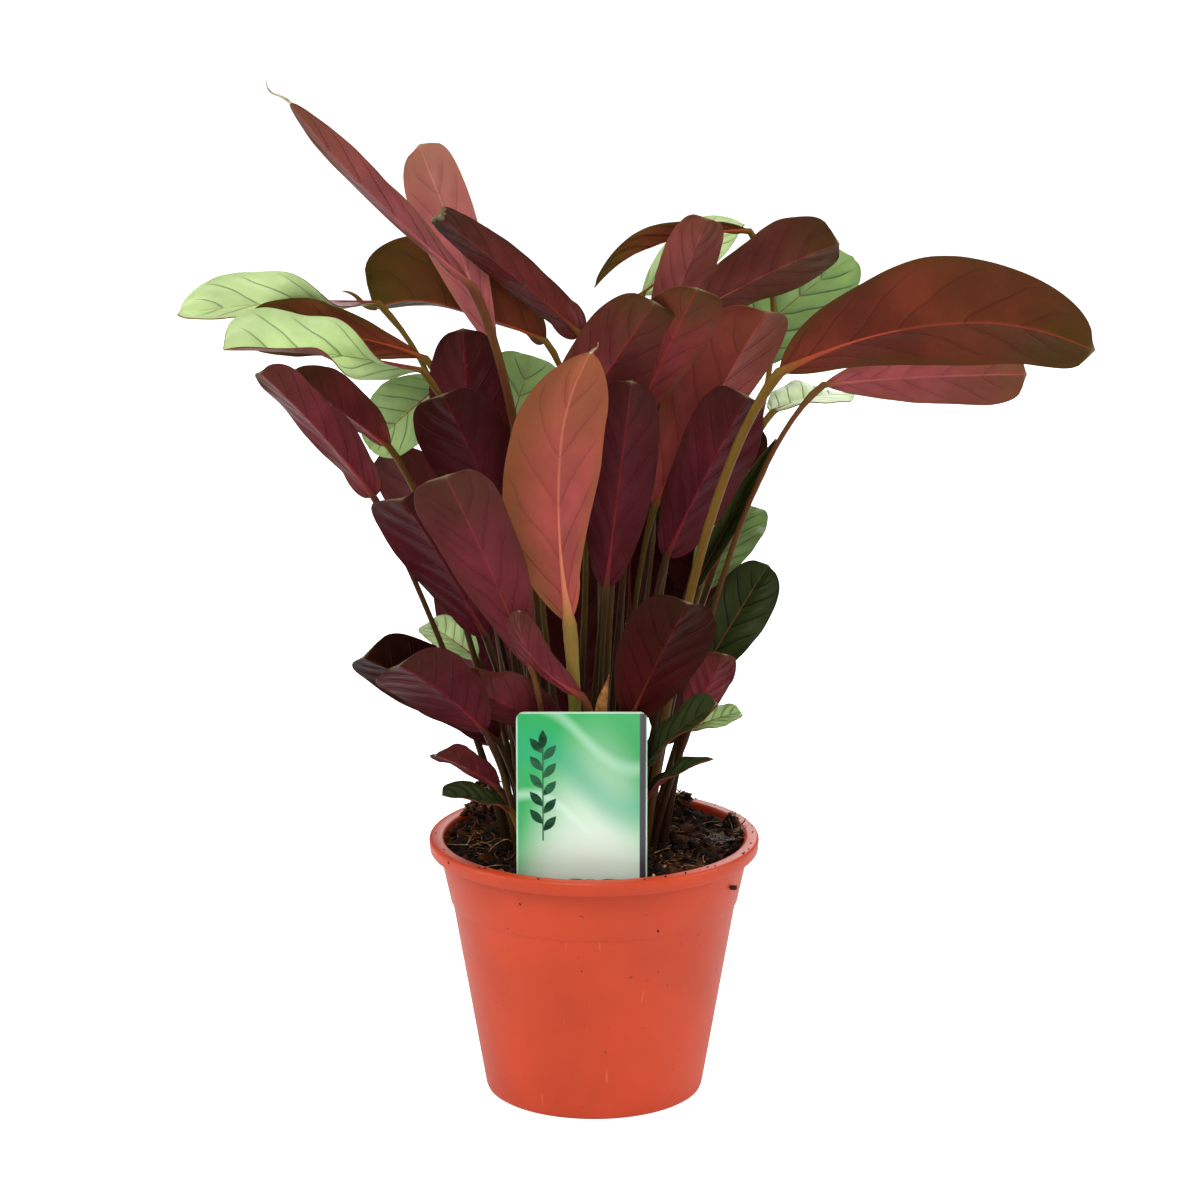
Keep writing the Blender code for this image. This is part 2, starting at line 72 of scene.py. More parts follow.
bl_info = {
    "name": "Potted ctenanthe",
    "version": (1, 0, 0),
    "blender": (4, 5, 0),
    "location": "View3D > Sidebar > Plant",
    "description": "Builds a potted ctenanthe with its pot, soil, label and leaves",
    "category": "Object",
}

MM = 0.001
# Random turns are drawn from 0 to this many radians
ANY_TURN = 6.28

# Pot
POT_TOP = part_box("pot")[1]
POT_HEIGHT = POT_TOP[2] / MM
LIP_RADIUS = POT_TOP[0] / MM
LIP_DEPTH = 6.0
LIP_BOTTOM = POT_HEIGHT - LIP_DEPTH
LIP_INNER_BEND = 2.0
LIP_OUTER_BEND = 1.6
COLLAR_RADIUS = 65.0
LEDGE_HEIGHT = 84.0
LEDGE_RADIUS = 61.0
LEDGE_STEP = 0.8
BASE_RADIUS = 46.0
WALL = 1.5
POT_FLOOR = 2.0
DRAIN_HOLES = 8
DRAIN_RING_RADIUS = 33.0
DRAIN_HOLE_RADIUS = 4.0
DRILL_LENGTH = 12.0

# Soil
SOIL_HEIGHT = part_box("soil")[1][2] / MM
SOIL_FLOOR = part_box("soil")[0][2] / MM
SOIL_CLEARANCE = 0.5
SOIL_RINGS = 56
SOIL_SPOKES = 144
WOOLLY_ROOTS = 170
RIM_GRAINS = 26
BROKEN_ROOTS = 9
POCKET_DEPTH = 6.0

# Crown: the patch of soil where the stalks come up
CROWN_X, CROWN_Y = -3.0, -5.0
FAN_DEPTH = 97.0
STALK_SPACING = 5.2
SPACING_ROUNDS = 80
SHEATH_FOOT = (4.0, -38.0)

# Label
LABEL_LOW, LABEL_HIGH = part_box("plant_label")
LABEL_WIDTH = (LABEL_HIGH[0] - LABEL_LOW[0]) / MM
STAKE_END = LABEL_LOW[2] / MM
STAKE_POINT = 6.0
LABEL_X = (LABEL_HIGH[0] + LABEL_LOW[0]) / 2.0 / MM
LABEL_Y = (LABEL_HIGH[1] + LABEL_LOW[1]) / 2.0 / MM
LABEL_TOP = LABEL_HIGH[2] / MM
LABEL_BOTTOM = 105.0
LABEL_CORNER = 3.4
LABEL_THICKNESS = 0.8
STAKE_WIDTH = 12.0
# The printed sprig: its stem, and the pairs of leaflets on it
SPRIG_X = LABEL_X - 16.0
SPRIG_LOW, SPRIG_HIGH = 124.0, 164.0
SPRIG_PAIRS = 5
SPRIG_STEP = 7.6
# Rolling bands on the card: height as a share of the card's, half width, tint and strength
LABEL_BANDS = (
    (0.62, 0.20, (0.010, 0.42, 0.22), 0.55),
    (0.86, 0.07, (0.62, 0.95, 0.74), 0.40),
    (0.34, 0.05, (0.80, 1.00, 0.88), 0.45),
)

# Stalks
STALK_FOOT_RADIUS = 1.9
STALK_RADIUS = 1.15
PULVINUS_RADIUS = 1.55
STALK_BOTTOM = SOIL_HEIGHT - POCKET_DEPTH + 0.3

# Blades: faces across and along, and how the side veins sweep forward from the midrib, as a share of
# the blade's length times a power of the share of its half width
BLADE_ACROSS = 22
BLADE_ALONG = 64
VEIN_SWEEP = 0.27
VEIN_BEND = 1.25
VEIN_WIDTH = 0.07

# A leaf is told by where its blade starts (foot), the way the blade runs (heading, counted from
# +X towards +Y, and rise above level), its length and width, and the way its upper side looks
# (face, a heading, lifted by tilt). fold lifts the two halves towards each other, arch bows the
# blade to its upper side and sway to one side, both as a share of its length.
Leaf = namedtuple("Leaf", "name foot heading rise length width face tilt fold arch sway tone")

LEAVES = (
    # The tall ones at the upper left
    Leaf("leaf_tall_furled", (-50, -15, 350), 200, 45, 110, 20, 90, 20, 50, -0.04, 0.0, "red"),
    Leaf("leaf_pink_upright", (-40, 10, 315), 145, 65, 95, 28, 90, 10, 15, 0.05, 0.0, "pink"),
    Leaf("leaf_red_torn_tip", (-5, 10, 325), 185, 40, 80, 25, 90, 10, 10, 0.05, 0.0, "red"),
    Leaf("leaf_olive_broad", (-20, 25, 320), 170, 15, 75, 42, 90, 20, 10, 0.06, 0.0, "olive"),
    Leaf("leaf_pale_far_left", (-90, 25, 335), 195, 0, 85, 25, 270, 50, 15, 0.05, 0.0, "pale"),
    Leaf("leaf_brown_left", (-70, 10, 315), 190, 10, 75, 28, 90, 20, 10, 0.04, -0.05, "olive"),
    Leaf("leaf_pale_left", (-70, -20, 315), 200, 10, 85, 28, 270, 50, 15, 0.05, 0.0, "pale"),
    Leaf("leaf_red_hanging", (-85, 0, 280), 215, 35, 60, 25, 90, 10, 10, 0.06, 0.0, "red"),
    Leaf("leaf_burgundy_left", (-90, -30, 265), 225, 45, 85, 25, 90, 20, 20, 0.05, 0.0, "burgundy"),
    Leaf("leaf_yellow_green", (-65, 30, 300), 145, -40, 50, 30, 270, 20, 10, 0.05, 0.0, "pale"),
    # The left half, down to the rim
    Leaf("leaf_dark_left_back", (-50, -5, 255), 130, 85, 75, 35, 90, 0, 10, 0.04, 0.0, "plum"),
    Leaf("leaf_dark_left_upper", (-35, -15, 245), 225, 60, 75, 38, 90, 10, 10, 0.05, 0.0, "plum"),
    Leaf("leaf_dark_left_front", (-25, -45, 195), 230, 60, 105, 34, 90, 10, 10, 0.05, 0.0, "burgundy"),
    Leaf("leaf_dark_left_low", (-45, -25, 205), 225, 55, 80, 38, 90, 10, 15, 0.05, 0.0, "plum"),
    Leaf("leaf_low_left_long", (-40, -25, 160), 215, 35, 80, 36, 90, 20, 10, 0.06, 0.0, "burgundy"),
    Leaf("leaf_low_left_pale_edge", (-45, -45, 170), 235, 35, 70, 34, 90, 20, 10, 0.06, 0.0, "burgundy"),
    Leaf("leaf_low_left_centre", (-15, -30, 165), 215, 30, 60, 28, 90, 20, 10, 0.04, 0.0, "burgundy"),
    Leaf("leaf_sickle", (-5, -45, 185), 225, 50, 55, 15, 90, 20, 20, 0.05, 0.15, "burgundy"),
    Leaf("leaf_tiny_left", (-40, -25, 140), 230, 30, 45, 15, 90, 30, 20, 0.05, 0.0, "burgundy"),
    Leaf("leaf_tiny_left_green", (-35, -40, 135), 225, 20, 40, 14, 270, 60, 20, 0.05, 0.0, "green"),
    Leaf("leaf_pale_bit", (-50, 15, 185), 125, 10, 40, 18, 270, 50, 10, 0.05, 0.0, "pale"),
    # The middle
    Leaf("leaf_coral_front", (-10, -45, 215), 280, 80, 120, 44, 90, 0, 5, 0.03, 0.05, "coral"),
    Leaf("leaf_dark_centre", (5, -25, 225), 295, 75, 95, 32, 90, 0, 10, 0.04, 0.0, "plum"),
    Leaf("leaf_red_centre", (-20, -20, 275), 330, 55, 90, 40, 90, 0, 10, 0.04, 0.0, "red"),
    Leaf("leaf_red_right_centre", (15, -15, 290), 305, 55, 80, 30, 90, 0, 10, 0.04, 0.0, "red"),
    Leaf("leaf_mauve_top", (25, -5, 320), 320, 65, 65, 25, 90, 10, 15, 0.05, 0.0, "pink"),
    Leaf("leaf_green_centre_back", (-40, 40, 265), 70, 45, 55, 35, 270, 20, 10, 0.05, 0.0, "green"),
    Leaf("leaf_olive_drooping", (65, 35, 365), 190, -15, 70, 15, 90, 40, 25, 0.04, -0.08, "olive"),
    Leaf("leaf_pale_top_back", (20, 50, 335), 35, 25, 60, 25, 270, 40, 15, 0.06, 0.0, "pale"),
    # The upper right
    Leaf("leaf_brown_top_right", (35, 10, 330), 10, 25, 75, 35, 90, 20, 10, 0.06, 0.0, "burgundy"),
    Leaf("leaf_green_top_right", (55, 50, 305), 35, 30, 80, 44, 270, 40, 10, 0.06, 0.0, "green"),
    Leaf("leaf_broad_right", (75, -45, 320), 340, 10, 130, 50, 90, 15, 10, 0.04, 0.08, "orange"),
    Leaf("leaf_burgundy_right", (95, 5, 305), 15, 0, 90, 30, 90, 0, 10, 0.06, 0.0, "burgundy"),
    Leaf("leaf_pale_right_back", (75, 25, 290), 50, 0, 50, 30, 270, 60, 10, 0.05, 0.0, "pale"),
    Leaf("leaf_red_broad", (25, -5, 255), 335, 60, 100, 40, 90, 10, 10, 0.05, 0.0, "red"),
    Leaf("leaf_plum_right", (30, -10, 235), 320, 60, 85, 34, 90, 10, 10, 0.05, 0.0, "plum"),
    Leaf("leaf_dark_right_back", (25, 20, 250), 315, 85, 60, 25, 90, 0, 10, 0.05, 0.0, "plum"),
    Leaf("leaf_green_right_back", (25, 35, 240), 100, 65, 60, 25, 270, 10, 10, 0.05, 0.0, "green"),
    # The right half, down to the rim
    Leaf("leaf_rolled_green", (40, 5, 215), 15, 60, 75, 14, 270, 20, 50, 0.03, 0.0, "green"),
    Leaf("leaf_green_right", (45, 35, 210), 60, 30, 55, 25, 270, 40, 10, 0.05, 0.0, "green"),
    Leaf("leaf_green_right_low", (45, 5, 180), 25, 55, 55, 26, 270, 30, 10, 0.05, 0.0, "green"),
    Leaf("leaf_low_right_front", (15, -45, 175), 305, 55, 70, 38, 90, 10, 10, 0.05, 0.0, "red"),
    Leaf("leaf_small_burgundy", (40, -20, 165), 315, 60, 40, 18, 90, 10, 10, 0.05, 0.0, "burgundy"),
    Leaf("leaf_green_low_right", (20, -35, 150), 310, 40, 60, 18, 270, 50, 15, 0.05, 0.0, "green"),
    Leaf("leaf_narrow_green", (20, -30, 135), 300, 30, 65, 10, 270, 50, 20, 0.05, 0.0, "green"),
    Leaf("leaf_tiny_green", (40, 10, 155), 40, 5, 30, 12, 270, 50, 10, 0.05, 0.0, "green"),
    # Behind, where they fill the back of the clump
    Leaf("leaf_back_left", (-25, 55, 215), 105, 70, 90, 42, 90, 10, 10, 0.04, 0.0, "plum"),
    Leaf("leaf_back_middle", (15, 55, 190), 85, 75, 105, 42, 90, 10, 10, 0.04, 0.0, "plum"),
    Leaf("leaf_back_right", (40, 50, 205), 60, 60, 85, 40, 90, 20, 10, 0.05, 0.0, "burgundy"),
    Leaf("leaf_back_far_left", (-50, 45, 200), 135, 50, 80, 38, 90, 20, 10, 0.05, 0.0, "burgundy"),
    Leaf("leaf_back_low", (-5, 45, 140), 95, 70, 90, 42, 90, 10, 10, 0.05, 0.0, "plum"),
    Leaf("leaf_back_low_left", (-40, 40, 140), 130, 65, 85, 40, 90, 20, 10, 0.05, 0.0, "plum"),
    Leaf("leaf_back_top", (10, 55, 255), 85, 70, 75, 36, 270, 10, 10, 0.05, 0.0, "green"),
    Leaf("leaf_back_low_right", (30, 40, 140), 55, 65, 85, 40, 90, 20, 10, 0.05, 0.0, "plum"),
)

# What sets a leaf apart from the plain one. start and end shape the outline towards the foot and the
# tip (small is blunt), lean makes the plus side blunter and uneven makes it wider. turn_foot and
# turn_tip twist the blade in degrees, plus and minus fold one half further, and curl rolls the margins
# towards the upper side. hook bows the last third to the underside and veer swings it to the plus
# side, both as a share of the length. stalk scales the stalk's radius, wave the margin's waves and
# quilt the swellings between the veins. wisp is the length in mm of a dry thread at the tip, less than
# nothing where it bends to the minus side, and torn the depth in mm of a ragged tip.
# The plus side lies to the left of a blade that stands up with its underside to the front.
Touch = namedtuple(
    "Touch",
    "start end lean uneven turn_foot turn_tip plus minus curl hook veer stalk wave quilt wisp torn",
    defaults=(0.58, 0.38, 0.0, 0.0, 0, 0, 0, 0, 10, 0.0, 0.0, 1.0, 1.0, 1.0, 0.0, 0.0),
)
PLAIN_TOUCH = Touch()
TOUCHES = {
    "leaf_tall_furled": Touch(
        start=0.85, end=0.62, plus=-4, minus=2, stalk=1.6, wave=0.6, veer=-0.02, wisp=15.0,
    ),
    "leaf_pink_upright": Touch(start=1.0, end=0.34, lean=-0.2, plus=-15, minus=15, curl=20),
    "leaf_red_torn_tip": Touch(start=0.40, end=0.50, plus=22, minus=34, curl=25, torn=4.0, wave=0.5),
    "leaf_olive_broad": Touch(start=0.5, end=0.26, plus=40, minus=-5, uneven=-0.34, veer=0.12, wisp=-17.0),
    "leaf_pale_far_left": Touch(
        start=0.8, end=0.40, lean=-0.3, uneven=0.1, turn_foot=115, minus=10, curl=15, quilt=1.3,
    ),
    "leaf_brown_left": Touch(start=1.0, end=0.30, turn_foot=-40, minus=10),
    "leaf_pale_left": Touch(
        start=0.7, end=0.32, lean=0.2, uneven=0.25, turn_foot=115, minus=28, curl=20, quilt=1.4,
    ),
    "leaf_red_hanging": Touch(start=0.6, end=0.4, turn_foot=20, plus=20),
    "leaf_burgundy_left": Touch(start=0.42, end=0.42, lean=0.1, plus=22, minus=28, wave=1.4),
    "leaf_yellow_green": Touch(start=0.5, end=0.6, wave=1.5),
    "leaf_dark_left_back": Touch(start=0.5, plus=5),
    "leaf_dark_left_upper": Touch(start=0.5, end=0.34, lean=0.2, minus=15),
    "leaf_dark_left_front": Touch(start=0.75, end=0.26, lean=0.2, minus=10, plus=-5, quilt=1.4, wave=1.3),
    "leaf_dark_left_low": Touch(start=0.5, end=0.3, lean=0.4, minus=10, quilt=1.7),
    "leaf_low_left_long": Touch(start=0.55, end=0.3, lean=-0.3, plus=5, minus=-5, wave=1.4),
    "leaf_low_left_pale_edge": Touch(start=0.55, end=0.3, plus=-10, minus=-5, wave=1.5),
    "leaf_low_left_centre": Touch(start=0.5, end=0.55, plus=5, veer=-0.16),
    "leaf_sickle": Touch(start=0.6, end=0.5, plus=10, stalk=1.3),
    "leaf_coral_front": Touch(
        start=0.86, end=0.72, lean=-0.2, uneven=0.06, turn_foot=-8, turn_tip=26, plus=-8, minus=34,
        veer=-0.05, stalk=2.3, wisp=-6.0,
    ),
    "leaf_dark_centre": Touch(start=0.6, end=0.4, plus=10),
    "leaf_red_centre": Touch(start=0.6, end=0.36, lean=-0.2, plus=5, minus=10, quilt=0.7),
    "leaf_red_right_centre": Touch(start=0.8, end=0.36, lean=-0.3, stalk=1.4, quilt=0.4),
    "leaf_mauve_top": Touch(start=0.6, end=0.34, plus=5, curl=20),
    "leaf_olive_drooping": Touch(start=0.8, end=0.7, plus=10, curl=20, hook=0.08),
    "leaf_brown_top_right": Touch(start=0.8, end=0.30, plus=-5, minus=10, wave=1.2),
    "leaf_green_top_right": Touch(start=0.4, end=0.5, quilt=1.9, wave=1.5),
    "leaf_broad_right": Touch(
        start=0.72, end=0.42, lean=-0.2, uneven=0.04, plus=-5, veer=-0.05, stalk=1.7, wave=2.0,
    ),
    "leaf_burgundy_right": Touch(start=0.8, end=0.26, lean=-0.1, wave=2.2),
    "leaf_red_broad": Touch(start=0.7, end=0.3, lean=-0.2, plus=-5, minus=20, quilt=0.6),
    "leaf_plum_right": Touch(start=0.5, end=0.34, lean=0.3, plus=10, minus=5, quilt=1.8),
    "leaf_rolled_green": Touch(start=0.8, end=0.8),
    "leaf_low_right_front": Touch(start=0.55, end=0.42, plus=5, minus=5),
    "leaf_narrow_green": Touch(start=0.8, end=0.7),
    "leaf_back_left": Touch(start=0.5, end=0.34, plus=14, turn_tip=-24, veer=-0.06, quilt=1.3),
    "leaf_back_middle": Touch(start=0.45, end=0.45, turn_tip=18, wave=1.4),
    "leaf_back_right": Touch(start=0.55, end=0.3, lean=-0.3, minus=15, turn_tip=22, veer=-0.08),
    "leaf_back_low": Touch(start=0.6, end=0.3, veer=0.10, turn_tip=-20, wave=1.5),
    "leaf_back_low_left": Touch(start=0.45, end=0.45, lean=-0.2, plus=18, turn_tip=-15, hook=0.10),
    "leaf_back_low_right": Touch(start=0.6, end=0.34, lean=0.25, curl=25, turn_tip=20, veer=-0.08),
    "leaf_pale_right_back": Touch(
        start=0.6, end=0.5, turn_foot=24, turn_tip=26, plus=-10, minus=-10, quilt=0.4,
    ),
    "leaf_back_far_left": Touch(start=0.5, end=0.42, lean=0.2, minus=15, wave=1.6, hook=0.12),
    "leaf_pale_top_back": Touch(start=0.9, end=0.9, lean=-0.2, quilt=1.3),
}

# Colours of a leaf by tone: the underside, its glow near the tip and margins, which is painted light
# shining through the blade, and its midrib. upper and stalk name a row of the two tables below, gloss is
# how strongly the underside shines, and side how far one half turns to the glow's colour, as painted light.
Tone = namedtuple("Tone", "under glow rib upper stalk gloss side", defaults=(0.16, 0.0))
TONES = {
    "coral": Tone(
        (0.430, 0.078, 0.064), (0.330, 0.115, 0.032), (0.62, 0.180, 0.100), "green", "green", side=0.72,
    ),
    "pink": Tone((0.390, 0.092, 0.096), (0.320, 0.130, 0.078), (0.52, 0.190, 0.160), "green", "olive"),
    "red": Tone((0.186, 0.026, 0.027), (0.068, 0.036, 0.006), (0.30, 0.026, 0.022), "green", "olive", 0.13),
    "burgundy": Tone((0.16, 0.022, 0.029), (0.075, 0.024, 0.012), (0.28, 0.030, 0.036), "green", "red", 0.13),
    "plum": Tone((0.084, 0.0085, 0.0140), (0.044, 0.010, 0.006), (0.19, 0.012, 0.018), "green", "dark", 0.12),
    "olive": Tone((0.118, 0.025, 0.010), (0.062, 0.045, 0.006), (0.32, 0.050, 0.015), "green", "olive", 0.08),
    "orange": Tone((0.158, 0.029, 0.014), (0.066, 0.04, 0.005), (0.36, 0.052, 0.026), "green", "olive", 0.09),
    "pale": Tone((0.130, 0.019, 0.020), (0.160, 0.042, 0.012), (0.24, 0.028, 0.024), "pale", "olive"),
    "green": Tone((0.120, 0.018, 0.019), (0.100, 0.030, 0.011), (0.20, 0.028, 0.022), "green", "olive"),
    "dusk": Tone((0.094, 0.0125, 0.0100), (0.022, 0.012, 0.003), (0.16, 0.018, 0.014), "green", "olive"),
    "mauve": Tone((0.220, 0.044, 0.044), (0.130, 0.046, 0.016), (0.36, 0.075, 0.068), "green", "red"),
    "umber": Tone((0.145, 0.029, 0.023), (0.085, 0.042, 0.009), (0.32, 0.060, 0.048), "green", "red", 0.12),
    "ember": Tone((0.275, 0.042, 0.034), (0.120, 0.036, 0.007), (0.42, 0.050, 0.036), "green", "olive"),
    # Painted shade: a dark copy for leaves low down and at the back of the clump
    "shaded": Tone(
        (0.038, 0.0034, 0.0032), (0.026, 0.008, 0.003), (0.09, 0.008, 0.006), "green", "dark", 0.05,
    ),
}
# Upper sides: the ground, the bands along the side veins, and the midrib
UPPER_COLOURS = {
    "pale": ((0.52, 0.66, 0.30), (0.20, 0.31, 0.10), (0.42, 0.50, 0.18)),
    "green": ((0.190, 0.300, 0.085), (0.036, 0.080, 0.018), (0.15, 0.24, 0.07)),
    "leafy": ((0.300, 0.430, 0.140), (0.110, 0.190, 0.050), (0.26, 0.34, 0.10)),
    # Painted shade: a darker copy of green for upper sides low down and at the back
    "dark": ((0.024, 0.032, 0.006), (0.007, 0.011, 0.003), (0.06, 0.08, 0.02)),
}
# The two colours that streak a stalk
STALK_COLOURS = {
    "green": ((0.21, 0.19, 0.026), (0.24, 0.12, 0.03)),
    "olive": ((0.120, 0.054, 0.009), (0.17, 0.095, 0.015)),
    "red": ((0.120, 0.030, 0.014), (0.13, 0.060, 0.014)),
    "dark": ((0.045, 0.014, 0.008), (0.08, 0.040, 0.010)),
}
# Leaves that take the colours of another tone than their row's; shaded is painted shade for low and back
# leaves
LEAF_TONES = {
    "leaf_red_broad": "ember",
    "leaf_back_right": "shaded",
    "leaf_tall_furled": "mauve",
    "leaf_red_torn_tip": "dusk",
    "leaf_mauve_top": "mauve",
    "leaf_brown_top_right": "umber",
    "leaf_burgundy_right": "mauve",
    "leaf_low_right_front": "shaded",
    "leaf_low_left_long": "shaded",
    "leaf_low_left_pale_edge": "plum",
    "leaf_back_middle": "shaded",
    "leaf_back_low": "shaded",
    "leaf_back_low_right": "shaded",
}
# Leaves whose upper side is fresh green, or darker than their tone's as painted shade low in the clump
UPPER_KINDS = {
    "leaf_green_centre_back": "leafy",
    "leaf_yellow_green": "leafy",
    "leaf_back_top": "leafy",
    "leaf_tiny_green": "leafy",
    "leaf_low_left_long": "dark",
    "leaf_low_left_pale_edge": "dark",
    "leaf_low_left_centre": "dark",
    "leaf_tiny_left": "dark",
    "leaf_green_right_low": "dark",
    "leaf_green_low_right": "dark",
    "leaf_narrow_green": "dark",
    "leaf_rolled_green": "dark",
    "leaf_green_right_back": "dark",
    "leaf_tiny_left_green": "dark",
}
DRY_TIP = (0.40, 0.33, 0.18)

# Loose crumbs heaped on the soil: x, y, spread, height and number
HEAPS = (
    (-47.0, 29.0, 12.0, 27.0, 330),
    (-57.0, 4.0, 9.0, 8.0, 60),
    (59.0, 3.0, 8.0, 14.0, 130),
    (37.0, 44.0, 12.0, 12.0, 110),
)
# Crumbs stuck to the outside of the pot: angle, height and size
STUCK_CRUMBS = (
    (-26.0, 97.0, 1.3),
    (-66.0, 88.0, 0.45),
    (-48.0, 117.0, 0.5),
    (-118.0, 99.0, 0.4),
    (-150.0, 110.0, 0.45),
    (-95.0, 70.0, 0.35),
    (30.0, 104.0, 0.6),
    (120.0, 92.0, 0.5),
)

# Stage, in metres: the camera, and each lamp's name, place, height it is turned to, size and share of
# the key lamp's power
CAMERA_PLACE = (0.0025, -1.75, 0.644)
CAMERA_DIP = 13.8
CAMERA_LENS = 129.0
CAMERA_SENSOR = 36.0
STUDIO_FLOOR_SIZE = 12.0
LAMPS = (
    ("key", (-0.5, -1.2, 1.8), 0.2, 1.0, 1.0),
    ("top", (0.2, -0.2, 2.2), 0.2, 1.0, 0.35),
    ("front", (0.5, -2.3, 0.7), 0.2, 1.2, 0.42),
    ("left", (-1.6, -0.3, 0.7), 0.2, 1.2, 0.50),
    ("right", (1.6, -0.2, 0.8), 0.2, 1.2, 0.58),
    ("back", (0.3, 1.6, 1.0), 0.3, 1.2, 0.55),
)


def colour_property(name, description, default):
    return FloatVectorProperty(
        name=name, description=description, subtype="COLOR", size=3, min=0.0, max=1.0, default=default,
    )


def length_property(name, description, default, low, high):
    return FloatProperty(
        name=name, description=description, unit="LENGTH", default=default, min=low, max=high,
    )


class PotSettings(bpy.types.PropertyGroup):
    colour: colour_property("Plastic colour", "Base colour of the pot", (0.575, 0.055, 0.013))
    steps: IntProperty(name="Roundness", description="Facets around the pot", default=144, min=24, max=256)


class SoilSettings(bpy.types.PropertyGroup):
    colour: colour_property("Peat colour", "Base colour of the peat", (0.020, 0.011, 0.007))
    crumbs: IntProperty(
        name="Crumbs", description="Loose lumps on the soil", default=2300, min=0, max=3000,
    )
    fibres: IntProperty(
        name="Fibres", description="Bark and root fibres on the soil", default=900, min=0, max=1000,
    )
    seed: IntProperty(name="Seed", description="Changes where the crumbs lie", default=7)


class LabelSettings(bpy.types.PropertyGroup):
    dark: colour_property("Dark green", "Colour at the label's corners", (0.030, 0.440, 0.110))
    light: colour_property("Light green", "Colour in the label's middle", (0.86, 1.00, 0.84))


class LeafSettings(bpy.types.PropertyGroup):
    vein_count: IntProperty(
        name="Side veins", description="Side veins along each half of a blade", default=6, min=3, max=30,
    )
    thickness: length_property("Blade thickness", "Thickness of a blade", 0.0005, 0.0002, 0.001)
    quilting: length_property("Quilting", "Height of the swellings between side veins", 0.00030, 0.0, 0.001)
    margin_wave: length_property("Margin wave", "Height of the waves along the margin", 0.0011, 0.0, 0.004)


class StageSettings(bpy.types.PropertyGroup):
    floor: colour_property("Floor colour", "Colour of the floor", (0.90, 0.90, 0.90))
    key_power: FloatProperty(
        name="Key light", description="Strength of the large lamp over the front", default=21.0, min=0.0,
    )


def deselect():
    for item in bpy.context.selected_objects:
        item.select_set(False)


def activate(item):
    deselect()
    item.select_set(True)
    bpy.context.view_layer.objects.active = item


@contextmanager
def edit_mode(action=None):
    """Edit mode for as long as its block lasts, with all selected or deselected at the start."""
    bpy.ops.object.mode_set(mode="EDIT")
    if action:
        bpy.ops.mesh.select_all(action=action)
    yield
    bpy.ops.object.mode_set(mode="OBJECT")


def apply_modifiers(item):
    activate(item)
    for modifier in list(item.modifiers):
        bpy.ops.object.modifier_apply(modifier=modifier.name)


def thicken(item, thickness, offset):
    solid = item.modifiers.new("thickness", "SOLIDIFY")
    solid.thickness = thickness
    solid.offset = offset
    return solid


def join(items, name):
    activate(items[0])
    for item in items[1:]:
        item.select_set(True)
    bpy.ops.object.join()
    items[0].name = name
    items[0].data.name = name
    return items[0]


def settle(item):
    """Puts the object's place and turn into its mesh."""
    activate(item)
    bpy.ops.object.transform_apply(location=True, rotation=True, scale=True)


def smooth(item, angle=60.0):
    activate(item)
    bpy.ops.object.shade_smooth_by_angle(angle=math.radians(angle))


def dress(item, *materials):
    item.data.materials.clear()
    for material in materials:
        item.data.materials.append(material)


def mark_points(item, name, values):
    """Gives every point of the mesh a number, which materials read by its name."""
    item.data.attributes.new(name, "FLOAT", "POINT").data.foreach_set("value", values)


def copy_of(model, place, turn, size=1.0):
    """A copy of a model with its own mesh."""
    copy = model.copy()
    copy.data = model.data.copy()
    copy.location = Vector(place) * MM
    copy.rotation_euler = turn
    copy.scale = (size, size, size)
    bpy.context.scene.collection.objects.link(copy)
    return copy


def hand_over(item, node):
    """The finished piece stands for its CAD node and stands still with the pot."""
    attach(item, "root")
    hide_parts(node)


def clamped(value, top=1.0):
    return min(max(value, 0.0), top)


def around(radius, angle):
    """The x and y that lie at a radius and, in radians, an angle from +X."""
    return radius * math.cos(angle), radius * math.sin(angle)


# ---------------------------------------------------------------- materials


